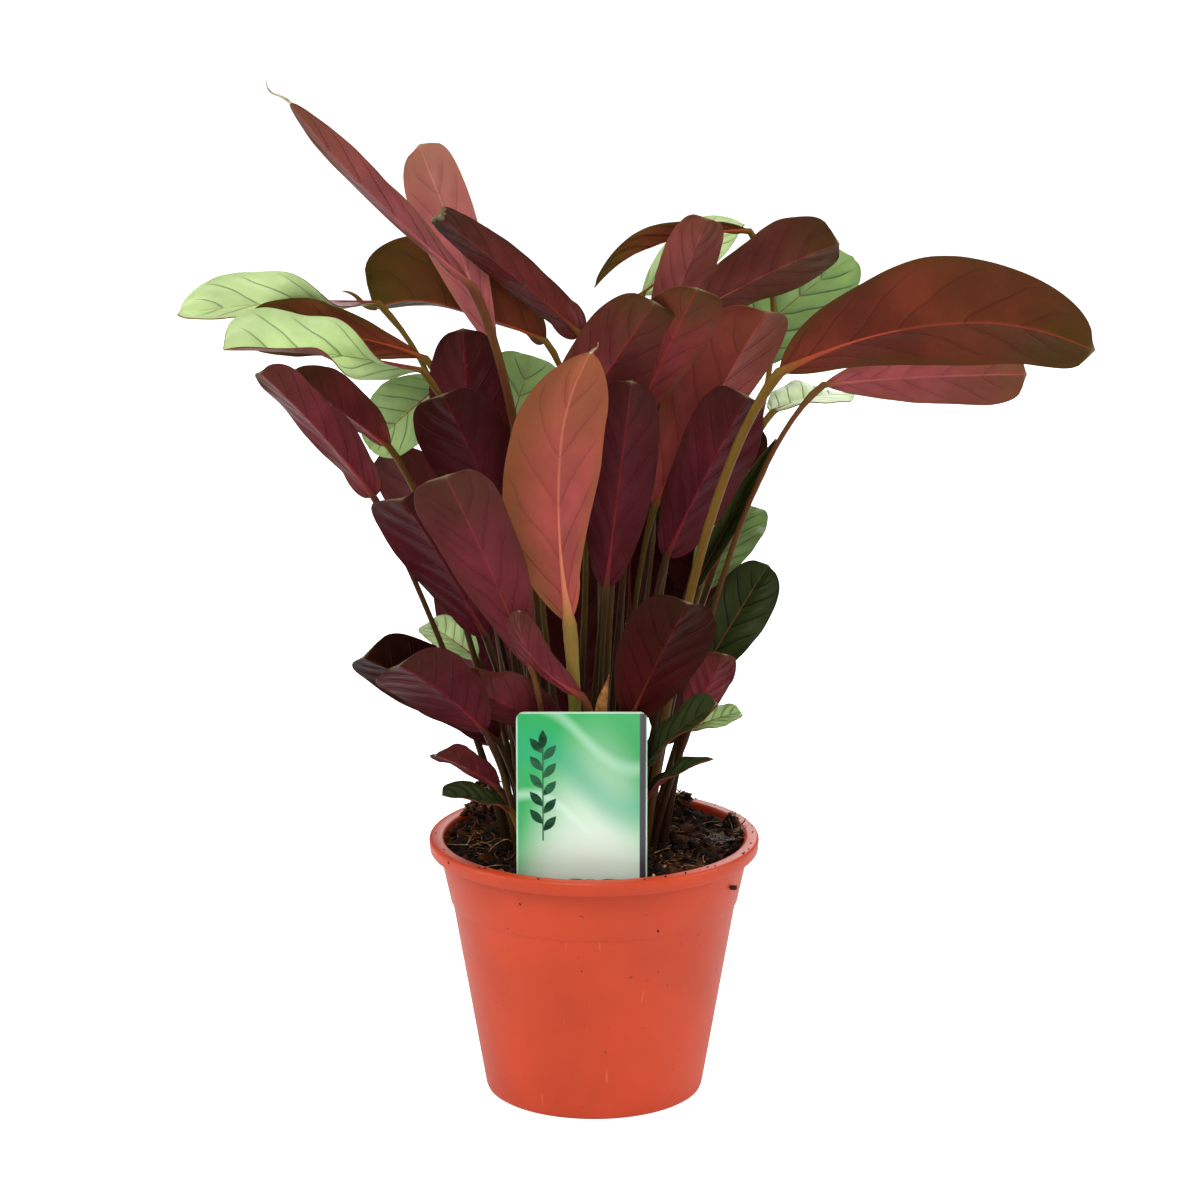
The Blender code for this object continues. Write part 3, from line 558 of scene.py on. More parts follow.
class Nodes:
    """Short ways to add nodes to one tree."""

    def __init__(self, tree):
        self.tree = tree

    def add(self, kind, **values):
        node = self.tree.nodes.new(kind)
        for key, value in values.items():
            setattr(node, key, value)
        return node

    def feed(self, socket, value):
        """Links another node's output to a socket, or sets a number, vector or colour on it."""
        if isinstance(value, bpy.types.NodeSocket):
            self.tree.links.new(value, socket)
        elif socket.type == "RGBA":
            socket.default_value = (*value, 1.0)
        else:
            socket.default_value = value

    def fill(self, node, values):
        for name, value in values.items():
            self.feed(node.inputs[name], value)

    def math(self, operation, *values):
        node = self.add("ShaderNodeMath", operation=operation)
        for socket, value in zip(node.inputs, values):
            self.feed(socket, value)
        return node.outputs[0]

    def times(self, first, second):
        return self.math("MULTIPLY", first, second)

    def times_plus(self, first, second, rest):
        return self.math("MULTIPLY_ADD", first, second, rest)

    def between(self, value, start, end):
        """0 at start and 1 at end, with soft ends; start may be the higher of the two."""
        node = self.add("ShaderNodeMapRange", interpolation_type="SMOOTHSTEP")
        self.fill(node, {"Value": value, "From Min": start, "From Max": end})
        return node.outputs["Result"]

    def mix(self, share, first, second, blend="MIX"):
        node = self.add("ShaderNodeMix", data_type="RGBA", blend_type=blend)
        self.feed(node.inputs["Factor"], share)
        colours = [socket for socket in node.inputs if socket.type == "RGBA"]
        for socket, value in zip(colours, (first, second)):
            self.feed(socket, value)
        return [socket for socket in node.outputs if socket.type == "RGBA"][0]

    def lay(self, body, *layers):
        """Lays colours over the body, each by its mask times its share."""
        for mask, share, colour in layers:
            if share:
                body = self.mix(self.times(mask, share), body, colour)
        return body

    def noise(self, vector, scale, detail=3.0, roughness=0.55):
        node = self.add("ShaderNodeTexNoise")
        self.fill(node, {"Vector": vector, "Scale": scale, "Detail": detail, "Roughness": roughness})
        return node.outputs["Fac"]

    def stretched(self, vector, scale, rotation=(0.0, 0.0, 0.0)):
        node = self.add("ShaderNodeMapping")
        self.fill(node, {"Vector": vector, "Scale": scale, "Rotation": rotation})
        return node.outputs[0]

    def split(self, vector):
        node = self.add("ShaderNodeSeparateXYZ")
        self.feed(node.inputs[0], vector)
        return node.outputs

    def object_place(self):
        return self.add("ShaderNodeTexCoord").outputs["Object"]

    def attribute(self, name):
        return self.add("ShaderNodeAttribute", attribute_name=name).outputs["Fac"]

    def seen_by_camera(self):
        return self.add("ShaderNodeLightPath").outputs["Is Camera Ray"]

    def bump(self, height, strength, distance):
        node = self.add("ShaderNodeBump")
        self.fill(node, {"Height": height, "Strength": strength, "Distance": distance})
        return node.outputs["Normal"]


def new_material(name):
    material = bpy.data.materials.new(name)
    material.use_nodes = True
    return material, Nodes(material.node_tree), material.node_tree.nodes["Principled BSDF"]


def new_group(name, inputs, outputs):
    """A shader node group whose inputs, told with their defaults, and outputs are plain numbers."""
    tree = bpy.data.node_groups.new(name, "ShaderNodeTree")
    for label, default in inputs.items():
        socket = tree.interface.new_socket(label, in_out="INPUT", socket_type="NodeSocketFloat")
        socket.default_value = default
    for label in outputs:
        tree.interface.new_socket(label, in_out="OUTPUT", socket_type="NodeSocketFloat")
    nodes = Nodes(tree)
    return nodes, nodes.add("NodeGroupInput").outputs, nodes.add("NodeGroupOutput")


def scaled(colour, factor):
    return tuple(min(part * factor, 1.0) for part in colour)


def blade_markings():
    """Masks that follow a blade: side veins, their feathering, midrib, margin, tip and mottling."""
    name = "Blade markings"
    if name in bpy.data.node_groups:
        return bpy.data.node_groups[name]
    inputs = {"Veins": 6.0, "Sweep": VEIN_SWEEP, "Vein width": VEIN_WIDTH}
    outputs = ["Vein", "Feather", "Midrib", "Margin", "Tip", "Foot"]
    outputs += ["Side", "Mottle", "Hairlines", "Crinkle", "Shade", "Dry"]
    nodes, source, target = new_group(name, inputs, outputs)
    place = nodes.object_place()
    on_blade = nodes.split(nodes.add("ShaderNodeUVMap", uv_map="UVMap").outputs[0])
    side, along = on_blade["X"], on_blade["Y"]
    across = nodes.math("ABSOLUTE", nodes.times_plus(side, 2.0, -1.0))
    wander = nodes.noise(place, 30.0, 2.0)
    bend = nodes.times(nodes.math("POWER", across, VEIN_BEND), source["Sweep"])
    run = nodes.math("SUBTRACT", along, bend)
    phase = nodes.times_plus(wander, 0.9, nodes.times(run, source["Veins"]))
    part = nodes.math("FRACT", phase)
    near = nodes.math("SUBTRACT", 0.5, nodes.math("ABSOLUTE", nodes.math("SUBTRACT", part, 0.5)))
    line = nodes.between(nodes.math("DIVIDE", near, source["Vein width"]), 1.0, 0.0)
    fade = nodes.between(across, 0.98, 0.70)
    before_tip = nodes.between(along, 0.94, 0.84)
    feather = nodes.times(nodes.between(part, 0.42, 0.0), nodes.between(across, 0.9, 0.25))
    # Tip masks the painted glow of light through the blade's tip; Foot masks painted shade at its foot
    tip_glow_foot_shade = nodes.times_plus(nodes.noise(place, 26.0), 0.7, along)
    hairs = nodes.times_plus(nodes.math("SINE", nodes.times(phase, 75.0)), 0.5, 0.5)
    # Soft folds that run out from the midrib beside the side veins, broken up by shallow dents
    spread = nodes.add("ShaderNodeCombineXYZ")
    nodes.fill(spread, {
        "X": nodes.times(phase, 1.2), "Y": nodes.times(side, 1.6), "Z": nodes.times(wander, 2.0),
    })
    folds = nodes.noise(spread.outputs[0], 1.3, 1.0)
    dents = nodes.noise(place, 95.0, 2.0)
    nodes.fill(target, {
        "Vein": nodes.times(nodes.times(line, fade), before_tip),
        "Feather": nodes.times(feather, before_tip),
        "Midrib": nodes.between(across, 0.045, 0.008),
        "Margin": nodes.between(nodes.times_plus(nodes.noise(place, 40.0), 0.7, across), 0.90, 1.45),
        "Tip": nodes.between(tip_glow_foot_shade, 0.75, 1.45),
        "Foot": nodes.between(tip_glow_foot_shade, 0.85, 0.38),
        "Side": nodes.between(nodes.times_plus(wander, 0.3, side), 0.62, 1.12),
        "Mottle": nodes.between(nodes.noise(place, 34.0, 4.0), 0.30, 0.72),
        "Hairlines": nodes.times(hairs, nodes.noise(place, 60.0)),
        "Crinkle": nodes.times_plus(folds, 0.55, nodes.times(dents, 0.65)),
        "Shade": nodes.attribute("leaf_shade"),
        "Dry": nodes.attribute("leaf_dry"),
    })
    return nodes.tree


def mark_blade(nodes, vein_count):
    """The blade markings, placed in a material."""
    group = nodes.add("ShaderNodeGroup", node_tree=blade_markings())
    nodes.fill(group, {"Veins": float(vein_count), "Sweep": VEIN_SWEEP, "Vein width": VEIN_WIDTH})
    return group.outputs


def finish_blade(nodes, marks, body, shades, roughness, vein_height):
    """The colour, roughness and relief that both sides of a blade end with."""
    darkest, lightest = ((shade, shade, shade) for shade in shades)
    body = nodes.mix(1.0, body, nodes.mix(marks["Shade"], darkest, lightest), "MULTIPLY")
    fine = nodes.times_plus(marks["Crinkle"], 2.4, nodes.times(marks["Hairlines"], 0.04))
    return {
        "Base Color": nodes.mix(marks["Dry"], body, DRY_TIP),
        "Roughness": nodes.times_plus(marks["Mottle"], *roughness),
        "Normal": nodes.bump(nodes.times_plus(marks["Vein"], vein_height, fine), 0.7, 0.0006),
    }


def underside_material(tone_name, vein_count):
    """Wine-red underside, bright midrib, and a painted olive glow of light through the margins and tip."""
    name = "leaf underside " + tone_name
    if name in bpy.data.materials:
        return bpy.data.materials[name]
    tone = TONES[tone_name]
    material, nodes, shader = new_material(name)
    marks = mark_blade(nodes, vein_count)
    body = nodes.mix(marks["Mottle"], scaled(tone.under, 0.75), scaled(tone.under, 1.25))
    body = nodes.lay(
        body,
        # Painted light: the glow of light shining through near the tip and margins
        (nodes.math("MAXIMUM", marks["Tip"], nodes.times(marks["Margin"], 0.7)), 0.92, tone.glow),
        # Painted light: one half of the blade turns to the glow's colour, as where light falls on it
        (marks["Side"], tone.side, scaled(tone.glow, 0.55)),
        (marks["Feather"], 0.24, scaled(tone.under, 0.50)),
        (marks["Vein"], 0.24, scaled(tone.under, 0.40)),
        (marks["Hairlines"], 0.10, scaled(tone.under, 0.55)),
        (marks["Midrib"], 0.60, tone.rib),
    )
    nodes.fill(shader, finish_blade(nodes, marks, body, (0.62, 1.25), (0.10, 0.36), 0.7))
    nodes.fill(shader, {"Specular IOR Level": tone.gloss, "Specular Tint": (1.0, 0.62, 0.66)})
    return material


def upper_material(kind, vein_count):
    """Grey-green upper side with dark strokes along the side veins and painted shade towards the foot."""
    name = "leaf upper " + kind
    if name in bpy.data.materials:
        return bpy.data.materials[name]
    ground, band, rib = UPPER_COLOURS[kind]
    material, nodes, shader = new_material(name)
    marks = mark_blade(nodes, vein_count)
    body = nodes.mix(marks["Mottle"], scaled(ground, 0.85), scaled(ground, 1.12))
    body = nodes.lay(
        body,
        # Painted shade: darker towards the blade's foot, where other leaves shade it
        (marks["Foot"], 0.45, band),
        (marks["Feather"], 0.22 if kind in ("pale", "leafy") else 0.45, band),
        (marks["Margin"], 0.35, band),
        (marks["Vein"], 0.80, scaled(band, 0.8)),
        (marks["Midrib"], 0.80, rib),
    )
    nodes.fill(shader, finish_blade(nodes, marks, body, (0.80, 1.15), (0.12, 0.32), -0.9))
    nodes.fill(shader, {"Specular IOR Level": 0.08 if kind == "dark" else 0.22})
    return material


def stalk_material(tone_name):
    """Ribbed stalk in long two-coloured streaks with painted shade; on the blade it takes the midrib's
    colour.
    """
    name = "stalk " + tone_name
    if name in bpy.data.materials:
        return bpy.data.materials[name]
    tone = TONES[tone_name]
    first, second = STALK_COLOURS[tone.stalk]
    material, nodes, shader = new_material(name)
    place = nodes.object_place()
    streaks = nodes.noise(nodes.stretched(place, (1.0, 1.0, 0.12)), 420.0, 4.0)
    patches = nodes.times_plus(streaks, 0.4, nodes.noise(place, 28.0))
    body = nodes.mix(nodes.between(patches, 0.45, 0.95), first, second)
    # Painted shade: stalks are darkened low down and deep inside the clump, where the leaves shade them
    split = nodes.split(place)
    above = nodes.between(split["Z"], 0.14, 0.31)
    before = nodes.between(split["Y"], -0.016, -0.034)
    deep = nodes.mix(0.86, body, (0.010, 0.004, 0.002))
    body = nodes.mix(nodes.math("MAXIMUM", above, before), deep, body)
    nodes.fill(shader, {
        "Base Color": nodes.mix(nodes.attribute("leaf_rib"), body, tone.rib),
        "Specular IOR Level": 0.14,
        "Specular Tint": (1.0, 0.78, 0.50),
        "Roughness": nodes.times_plus(streaks, 0.2, 0.32),
        "Normal": nodes.bump(streaks, 0.4, 0.0004),
    })
    return material


def plastic_material(colour):
    """Moulded plastic with faint flow marks, fine specks of peat and light scuffs."""
    material, nodes, shader = new_material("terracotta plastic")
    place = nodes.object_place()
    flow = nodes.noise(place, 22.0)
    grain = nodes.noise(place, 1500.0, 2.0)
    specks = nodes.between(nodes.noise(place, 260.0, 2.0), 0.715, 0.76)
    scratched = nodes.stretched(place, (1.0, 1.0, 0.06), (0.3, 0.5, 0.2))
    scuffs = nodes.between(nodes.noise(scratched, 330.0, 2.0), 0.70, 0.78)
    body = nodes.mix(nodes.between(flow, 0.3, 0.7), scaled(colour, 0.92), scaled(colour, 1.08))
    body = nodes.lay(body, (specks, 0.7, (0.16, 0.025, 0.012)), (scuffs, 0.35, (0.75, 0.20, 0.11)))
    height = nodes.times_plus(grain, 0.25, nodes.times(scuffs, -0.6))
    nodes.fill(shader, {
        "Base Color": body,
        "Specular IOR Level": 0.32,
        "Roughness": nodes.times_plus(scuffs, 0.2, nodes.times_plus(flow, 0.12, 0.33)),
        "Normal": nodes.bump(height, 0.25, 0.0002),
    })
    return material


def earth_material(name, dark, light, scale, roughness):
    """Crumbly or fibrous stuff, mottled between two colours."""
    material, nodes, shader = new_material(name)
    lumps = nodes.noise(nodes.object_place(), scale, 5.0, 0.65)
    nodes.fill(shader, {
        "Base Color": nodes.mix(nodes.between(lumps, 0.35, 0.68), dark, light),
        "Specular IOR Level": 0.12,
        "Roughness": nodes.times_plus(lumps, 0.2, roughness - 0.1),
        "Normal": nodes.bump(lumps, 0.8, 0.0008),
    })
    return material


def wisp_material():
    """Straw-coloured dry tissue."""
    name = "dry wisp"
    if name in bpy.data.materials:
        return bpy.data.materials[name]
    return earth_material(name, (0.20, 0.13, 0.05), (0.62, 0.60, 0.38), 300.0, 0.7)


def card_material(dark, light):
    """Printed card: green that fades to pale low down, crossed by three soft rolling bands."""
    material, nodes, shader = new_material("label print")
    place = nodes.object_place()
    split = nodes.split(place)
    right = nodes.math("DIVIDE", nodes.math("SUBTRACT", split["X"], LABEL_X * MM), LABEL_WIDTH * MM)
    height = (LABEL_TOP - LABEL_BOTTOM) * MM
    up = nodes.math("DIVIDE", nodes.math("SUBTRACT", split["Z"], LABEL_BOTTOM * MM), height)
    away = nodes.math("SUBTRACT", right, 0.08)
    sweep = nodes.times_plus(nodes.times(away, away), 2.2, up)
    body = nodes.mix(nodes.between(sweep, 0.12, 1.10), light, dark)
    roll = nodes.math("SINE", nodes.times(right, 5.2))
    curve = nodes.times_plus(roll, 0.10, nodes.times_plus(right, 0.25, up))
    for middle, half, tint, share in LABEL_BANDS:
        offset = nodes.math("ABSOLUTE", nodes.math("SUBTRACT", curve, middle))
        body = nodes.lay(body, (nodes.between(offset, half, 0.0), share, tint))
    body = nodes.mix(nodes.between(right, 0.438, 0.446), body, (0.055, 0.045, 0.065))
    side = nodes.between(nodes.math("ABSOLUTE", right), 0.486, 0.490)
    edge = nodes.math("MAXIMUM", side, nodes.between(up, 0.989, 0.992))
    fine = nodes.noise(place, 120.0)
    nodes.fill(shader, {
        "Base Color": nodes.mix(edge, body, (0.50, 0.72, 0.55)),
        "Roughness": nodes.times_plus(fine, 0.08, 0.26),
        "Normal": nodes.bump(fine, 0.03, 0.0002),
    })
    return material


def ink_material(name, colour):
    """Print that wears a little lighter and darker."""
    material, nodes, shader = new_material(name)
    wear = nodes.noise(nodes.object_place(), 300.0)
    nodes.fill(shader, {
        "Base Color": nodes.mix(wear, scaled(colour, 0.85), scaled(colour, 1.1)),
        "Roughness": nodes.times_plus(wear, 0.1, 0.25),
    })
    return material


# ---------------------------------------------------------------- pot


def outer_radius(height):
    share = height / LEDGE_HEIGHT
    return BASE_RADIUS + (LEDGE_RADIUS - LEDGE_STEP - BASE_RADIUS) * share


def inner_radius(height):
    if height <= LEDGE_HEIGHT:
        return outer_radius(height) - WALL
    share = (height - LEDGE_HEIGHT) / (LIP_BOTTOM - LEDGE_HEIGHT)
    bottom = LEDGE_RADIUS - LEDGE_STEP - WALL
    return bottom + (COLLAR_RADIUS - WALL - bottom) * min(share, 1.0)


def lathe(name, profile, steps):
    """A ring extruded and resized through a profile of (radius, height) in mm, closed at both ends."""
    radius, height = profile[0]
    deselect()
    bpy.ops.mesh.primitive_circle_add(vertices=steps, radius=radius * MM, location=(0.0, 0.0, height * MM))
    item = bpy.context.object
    item.name = name
    settle(item)
    with edit_mode():
        bpy.ops.mesh.select_mode(type="EDGE")
        bpy.ops.mesh.select_all(action="SELECT")
        for next_radius, next_height in profile[1:]:
            rise = (0.0, 0.0, (next_height - height) * MM)
            bpy.ops.mesh.extrude_edges_move(TRANSFORM_OT_translate={"value": rise})
            grow = next_radius / radius
            bpy.ops.transform.resize(value=(grow, grow, 1.0), center_override=(0.0, 0.0, 0.0))
            radius, height = next_radius, next_height
        bpy.ops.mesh.merge(type="CENTER")
        bpy.ops.mesh.select_all(action="DESELECT")
        bpy.ops.mesh.select_mode(type="VERT")
        bpy.ops.mesh.select_non_manifold()
        bpy.ops.mesh.edge_face_add()
        bpy.ops.mesh.poke()
        bpy.ops.mesh.select_all(action="SELECT")
        bpy.ops.mesh.normals_make_consistent(inside=False)
    return item


def bent_edge(radius, height, bend, angles):
    """Points of a rounded edge whose bend has its middle at radius, height."""
    turns = [math.radians(angle) for angle in angles]
    return [(radius + bend * math.cos(turn), height + bend * math.sin(turn)) for turn in turns]


def pot_profile():
    """From the floor up the inside, over the lip, down the outside and in under the foot."""
    mouth = inner_radius(LIP_BOTTOM)
    inner, outer = LIP_INNER_BEND, LIP_OUTER_BEND
    return [
        (inner_radius(POT_FLOOR) - 1.0, POT_FLOOR),
        (inner_radius(POT_FLOOR + 1.0), POT_FLOOR + 1.0),
        (inner_radius(LEDGE_HEIGHT), LEDGE_HEIGHT),
        (mouth, LIP_BOTTOM),
        *bent_edge(mouth + inner, POT_HEIGHT - inner, inner, range(180, 89, -15)),
        *bent_edge(LIP_RADIUS - outer, POT_HEIGHT - outer, outer, range(77, -2, -13)),
        (LIP_RADIUS - 0.3, LIP_BOTTOM + 0.5),
        (LIP_RADIUS - 0.7, LIP_BOTTOM),
        (LIP_RADIUS - WALL, LIP_BOTTOM),
        (LIP_RADIUS - WALL - 0.2, LIP_BOTTOM + 2.0),
        (COLLAR_RADIUS + 0.7, LIP_BOTTOM + 1.6),
        (COLLAR_RADIUS + 0.1, LIP_BOTTOM + 0.4),
        (COLLAR_RADIUS, LIP_BOTTOM - 1.5),
        (COLLAR_RADIUS - 0.15, LIP_BOTTOM - 4.0),
        (LEDGE_RADIUS + 0.1, LEDGE_HEIGHT + 0.5),
        (LEDGE_RADIUS - 0.15, LEDGE_HEIGHT),
        (LEDGE_RADIUS - LEDGE_STEP + 0.15, LEDGE_HEIGHT - 0.25),
        (LEDGE_RADIUS - LEDGE_STEP, LEDGE_HEIGHT - 0.8),
        (outer_radius(40.0) + 0.05, 40.0),
        (outer_radius(4.0), 4.0),
        (outer_radius(2.5) - 0.1, 2.2),
        (BASE_RADIUS - 0.3, 0.8),
        (BASE_RADIUS - 1.3, 0.15),
        (BASE_RADIUS - 2.2, 0.0),
        (BASE_RADIUS - 4.5, 0.0),
        (BASE_RADIUS - 5.0, 0.35),
        (BASE_RADIUS - 7.0, 0.35),
        (BASE_RADIUS - 7.5, 0.0),
        (20.0, 0.0),
        (0.5, 0.0),
    ]


class PLANT_OT_pot(bpy.types.Operator):
    """Turn the pot, drill its drainage holes and give it its plastic"""

    bl_idname = "plant.pot"
    bl_label = "Nursery pot"

    def execute(self, context):
        settings = context.scene.plant_pot
        pot = lathe("nursery_pot", pot_profile(), settings.steps)
        drills = []
        for i in range(DRAIN_HOLES):
            x, y = around(DRAIN_RING_RADIUS, 2.0 * math.pi * i / DRAIN_HOLES)
            bpy.ops.mesh.primitive_cylinder_add(
                vertices=32, radius=DRAIN_HOLE_RADIUS * MM, depth=DRILL_LENGTH * MM,
                location=(x * MM, y * MM, 0.0),
            )
            drills.append(bpy.context.object)
        drill = join(drills, "drill")
        settle(drill)
        modifier = pot.modifiers.new("drainage", "BOOLEAN")
        modifier.operation = "DIFFERENCE"
        modifier.object = drill
        apply_modifiers(pot)
        bpy.data.objects.remove(drill, do_unlink=True)
        smooth(pot, 35.0)
        dress(pot, plastic_material(settings.colour))
        hand_over(pot, "pot")
        return {"FINISHED"}


# ---------------------------------------------------------------- soil


def ground_height(x, y):
    """Height of the soil's lumpy top in mm; it sinks a little towards the wall."""
    place = Vector((x, y, 0.0))
    lumps = 1.3 * noise.noise(place * 0.07) + 0.8 * noise.noise(place * 0.22) + 0.5 * noise.noise(place * 0.7)
    edge = max(math.hypot(x, y) - 56.0, 0.0) / 8.0
    return SOIL_HEIGHT + 0.7 + lumps - 0.8 * edge


def soil_bed():
    """A round bed: rings out to the wall with a lumpy top, closed underneath."""
    reach = inner_radius(SOIL_HEIGHT - 3.0) - SOIL_CLEARANCE
    profile = [(reach * (i + 1) / SOIL_RINGS, SOIL_HEIGHT) for i in range(SOIL_RINGS)]
    profile += [
        (inner_radius(LEDGE_HEIGHT) - SOIL_CLEARANCE, LEDGE_HEIGHT),
        (inner_radius(SOIL_FLOOR) - SOIL_CLEARANCE, SOIL_FLOOR),
        (0.5, SOIL_FLOOR),
    ]
    bed = lathe("soil_bed", profile, SOIL_SPOKES)
    for vertex in bed.data.vertices:
        if vertex.co.z > (LEDGE_HEIGHT + 2.0) * MM:
            vertex.co.z = ground_height(vertex.co.x / MM, vertex.co.y / MM) * MM
    smooth(bed)
    return bed


def lump_model(stuff, seed, long):
    """One crumb of about 1 mm: a ball pushed out of round."""
    deselect()
    bpy.ops.mesh.primitive_ico_sphere_add(subdivisions=1, radius=MM)
    lump = bpy.context.object
    with edit_mode("SELECT"):
        bpy.ops.transform.resize(value=(long, 1.0, 0.75))
        bpy.ops.transform.vertex_random(offset=0.35 * MM, uniform=1.0, seed=seed)
    smooth(lump, 80.0)
    dress(lump, stuff)
    return lump


def fibre_model(stuff, draw, thickness):
    """One bent fibre of about 10 mm that tapers to both ends."""
    heading, place = 0.0, Vector((-5.0, 0.0, 0.0))
    curl, lift = draw.uniform(-0.5, 0.5), draw.uniform(0.0, 2.0)
    points, radii = [], []
    steps = 7
    for i in range(steps + 1):
        share = i / steps
        points.append(place + Vector((0.0, 0.0, lift * math.sin(math.pi * share))))
        radii.append(thickness * (0.35 + 0.65 * math.sin(math.pi * min(share + 0.15, 1.0))))
        heading += curl * draw.uniform(0.2, 1.5)
        place = place + Vector((*around(1.0, heading), 0.0)) * (10.0 / steps)
    fibre = add_tube("fibre", points, radii, sides_each_quarter=0)
    dress(fibre, stuff)
    return fibre


def before_label(x, y):
    """Whether a place lies right in front of the label, where only the wall stands."""
    return abs(x - LABEL_X) < LABEL_WIDTH / 2.0 + 2.0 and y < LABEL_Y + 2.5


def held_in(x, y, reach):
    """The nearest place that lies within reach of the pot's middle."""
    radius = math.hypot(x, y)
    if radius > reach:
        x, y = x * reach / radius, y * reach / radius
    return x, y


class Strewer:
    """Lays copies of crumbs and fibres on the soil, all by one row of random draws."""

    def __init__(self, settings, bed, peat):
        draw = self.draw = random.Random(settings.seed)
        self.pieces = [bed]
        self.reach = inner_radius(SOIL_HEIGHT) - 2.5
        bark = earth_material("bark", (0.014, 0.005, 0.002), (0.085, 0.028, 0.010), 260.0, 0.88)
        straw = earth_material("straw", (0.22, 0.100, 0.036), (0.60, 0.36, 0.17), 300.0, 0.80)
        pale = earth_material("pale roots", (0.26, 0.22, 0.17), (0.62, 0.56, 0.47), 300.0, 0.85)
        shapes = ((peat, 1.2), (peat, 1.6), (bark, 1.9), (straw, 2.2), (pale, 1.2))
        self.lumps = [lump_model(stuff, i + 1, long) for i, (stuff, long) in enumerate(shapes)]
        self.fibres = [fibre_model(bark, draw, 0.34) for _ in range(4)]
        self.fibres += [fibre_model(straw, draw, 0.15) for _ in range(5)]
        self.wool = [fibre_model(pale, draw, 0.07) for _ in range(4)]

    def lay(self, model, x, y, height, size, tilt):
        turn = [self.draw.uniform(-tilt, tilt) for _ in range(2)] + [self.draw.uniform(0.0, ANY_TURN)]
        self.pieces.append(copy_of(model, (x, y, height), turn, size))

    def random_place(self, reach):
        angle = self.draw.uniform(0.0, 2.0 * math.pi)
        return around(reach * math.sqrt(self.draw.random()), angle)

    def crumbs(self, count):
        for _ in range(count):
            x, y = self.random_place(self.reach)
            if before_label(x, y):
                continue
            lump = self.draw.choices(self.lumps, weights=(12, 10, 7, 2, 1))[0]
            size = 0.5 + 3.2 * self.draw.random() ** 3.2
            if lump in self.lumps[3:]:
                size = min(size, 1.0)
            self.lay(lump, x, y, ground_height(x, y) + size * 0.35, size, 0.8)

    def loose_fibres(self, count):
        for _ in range(count):
            x, y = self.random_place(self.reach - 5.0)
            if before_label(x, y - 10.0):
                continue
            fibre = self.draw.choices(self.fibres, weights=(2, 2, 2, 2, 3, 3, 3, 3, 3))[0]
            size = 0.35 + 1.5 * self.draw.random() ** 2.0
            self.lay(fibre, x, y, ground_height(x, y) + 1.1, size, 0.45)

    def heap(self, middle_x, middle_y, spread, top, count):
        draw = self.draw
        weights = (3, 4, 5, 1, 1, 1, 1, 4, 4, 4, 4, 4)
        for _ in range(count):
            away = abs(draw.gauss(0.0, 0.5))
            x, y = around(away * spread, draw.uniform(0.0, ANY_TURN))
            x, y = held_in(middle_x + x, middle_y + y, self.reach + 0.5)
            height = SOIL_HEIGHT + top * draw.uniform(0.45, 1.0) * max(1.0 - away, 0.0) ** 0.7
            model = draw.choices(self.lumps[:3] + self.fibres, weights=weights)[0]
            size = draw.uniform(0.9, 2.2) if model in self.lumps else draw.uniform(0.4, 0.9)
            self.lay(model, x, y, height, size, 1.0)

    def woolly_band(self, count):
        """Pale woolly roots in a band that runs out to the right-hand edge."""
        draw = self.draw
        for _ in range(count):
            share = draw.random()
            x = 45.0 + 18.0 * share + draw.gauss(0.0, 1.6)
            y = -9.0 + 14.0 * share + draw.gauss(0.0, 2.2)
            x, y = held_in(x, y, self.reach - 1.0)
            height = SOIL_HEIGHT + 2.0 + 3.0 * share + draw.uniform(-0.8, 1.2)
            self.lay(draw.choice(self.wool), x, y, height, draw.uniform(0.5, 1.0), 0.5)

    def rim_grit(self, count):
        """Grit that was left on the rim."""
        draw = self.draw
        for _ in range(count):
            angle = draw.uniform(0.0, ANY_TURN)
            x, y = around(LIP_RADIUS - draw.uniform(1.2, 3.2), angle)
            size = draw.uniform(0.22, 0.55)
            self.lay(draw.choice(self.lumps[:3]), x, y, POT_HEIGHT + 0.3 * size, size, 1.0)

    def broken_roots(self, count, heap):
        """Broken roots that stand up out of a heap."""
        draw = self.draw
        for _ in range(count):
            x, y = heap[0] + draw.uniform(-5.0, 3.0), heap[1] + draw.uniform(-3.0, 3.0)
            model = draw.choice(self.fibres[2:])
            self.lay(model, x, y, SOIL_HEIGHT + draw.uniform(17.0, 23.0), 0.9, 1.2)

    def stuck_crumb(self, angle, height, size):
        out = LIP_RADIUS if height > LIP_BOTTOM else COLLAR_RADIUS
        out = out if height > LEDGE_HEIGHT else outer_radius(height)
        self.lay(self.lumps[2], *around(out, math.radians(angle)), height, size, 1.0)

    def gather(self):
        """Deletes the models and joins what was laid."""
        for model in self.lumps + self.fibres + self.wool:
            bpy.data.objects.remove(model, do_unlink=True)
        soil = join(self.pieces, "peat_soil")
        settle(soil)
        return soil


class PLANT_OT_soil(bpy.types.Operator):
    """Fill the pot with peat and strew it with crumbs, fibres and pale grains"""

    bl_idname = "plant.soil"
    bl_label = "Soil"

    def execute(self, context):
        settings = context.scene.plant_soil
        dark = settings.colour
        peat = earth_material("peat", scaled(dark, 0.18), scaled(dark, 1.4), 380.0, 0.97)
        bed = soil_bed()
        dress(bed, peat)
        strewer = Strewer(settings, bed, peat)
        strewer.crumbs(settings.crumbs)
        strewer.loose_fibres(settings.fibres)
        for heap in HEAPS:
            strewer.heap(*heap)
        strewer.woolly_band(WOOLLY_ROOTS)
        strewer.rim_grit(RIM_GRAINS)
        strewer.broken_roots(BROKEN_ROOTS, HEAPS[0])
        for crumb in STUCK_CRUMBS:
            strewer.stuck_crumb(*crumb)
        # One curl of bark that stands up beside the rim
        strewer.lay(strewer.fibres[0], 64.0, 4.0, POT_HEIGHT + 2.5, 0.8, 1.0)
        hand_over(strewer.gather(), "soil")
        return {"FINISHED"}


# ---------------------------------------------------------------- label


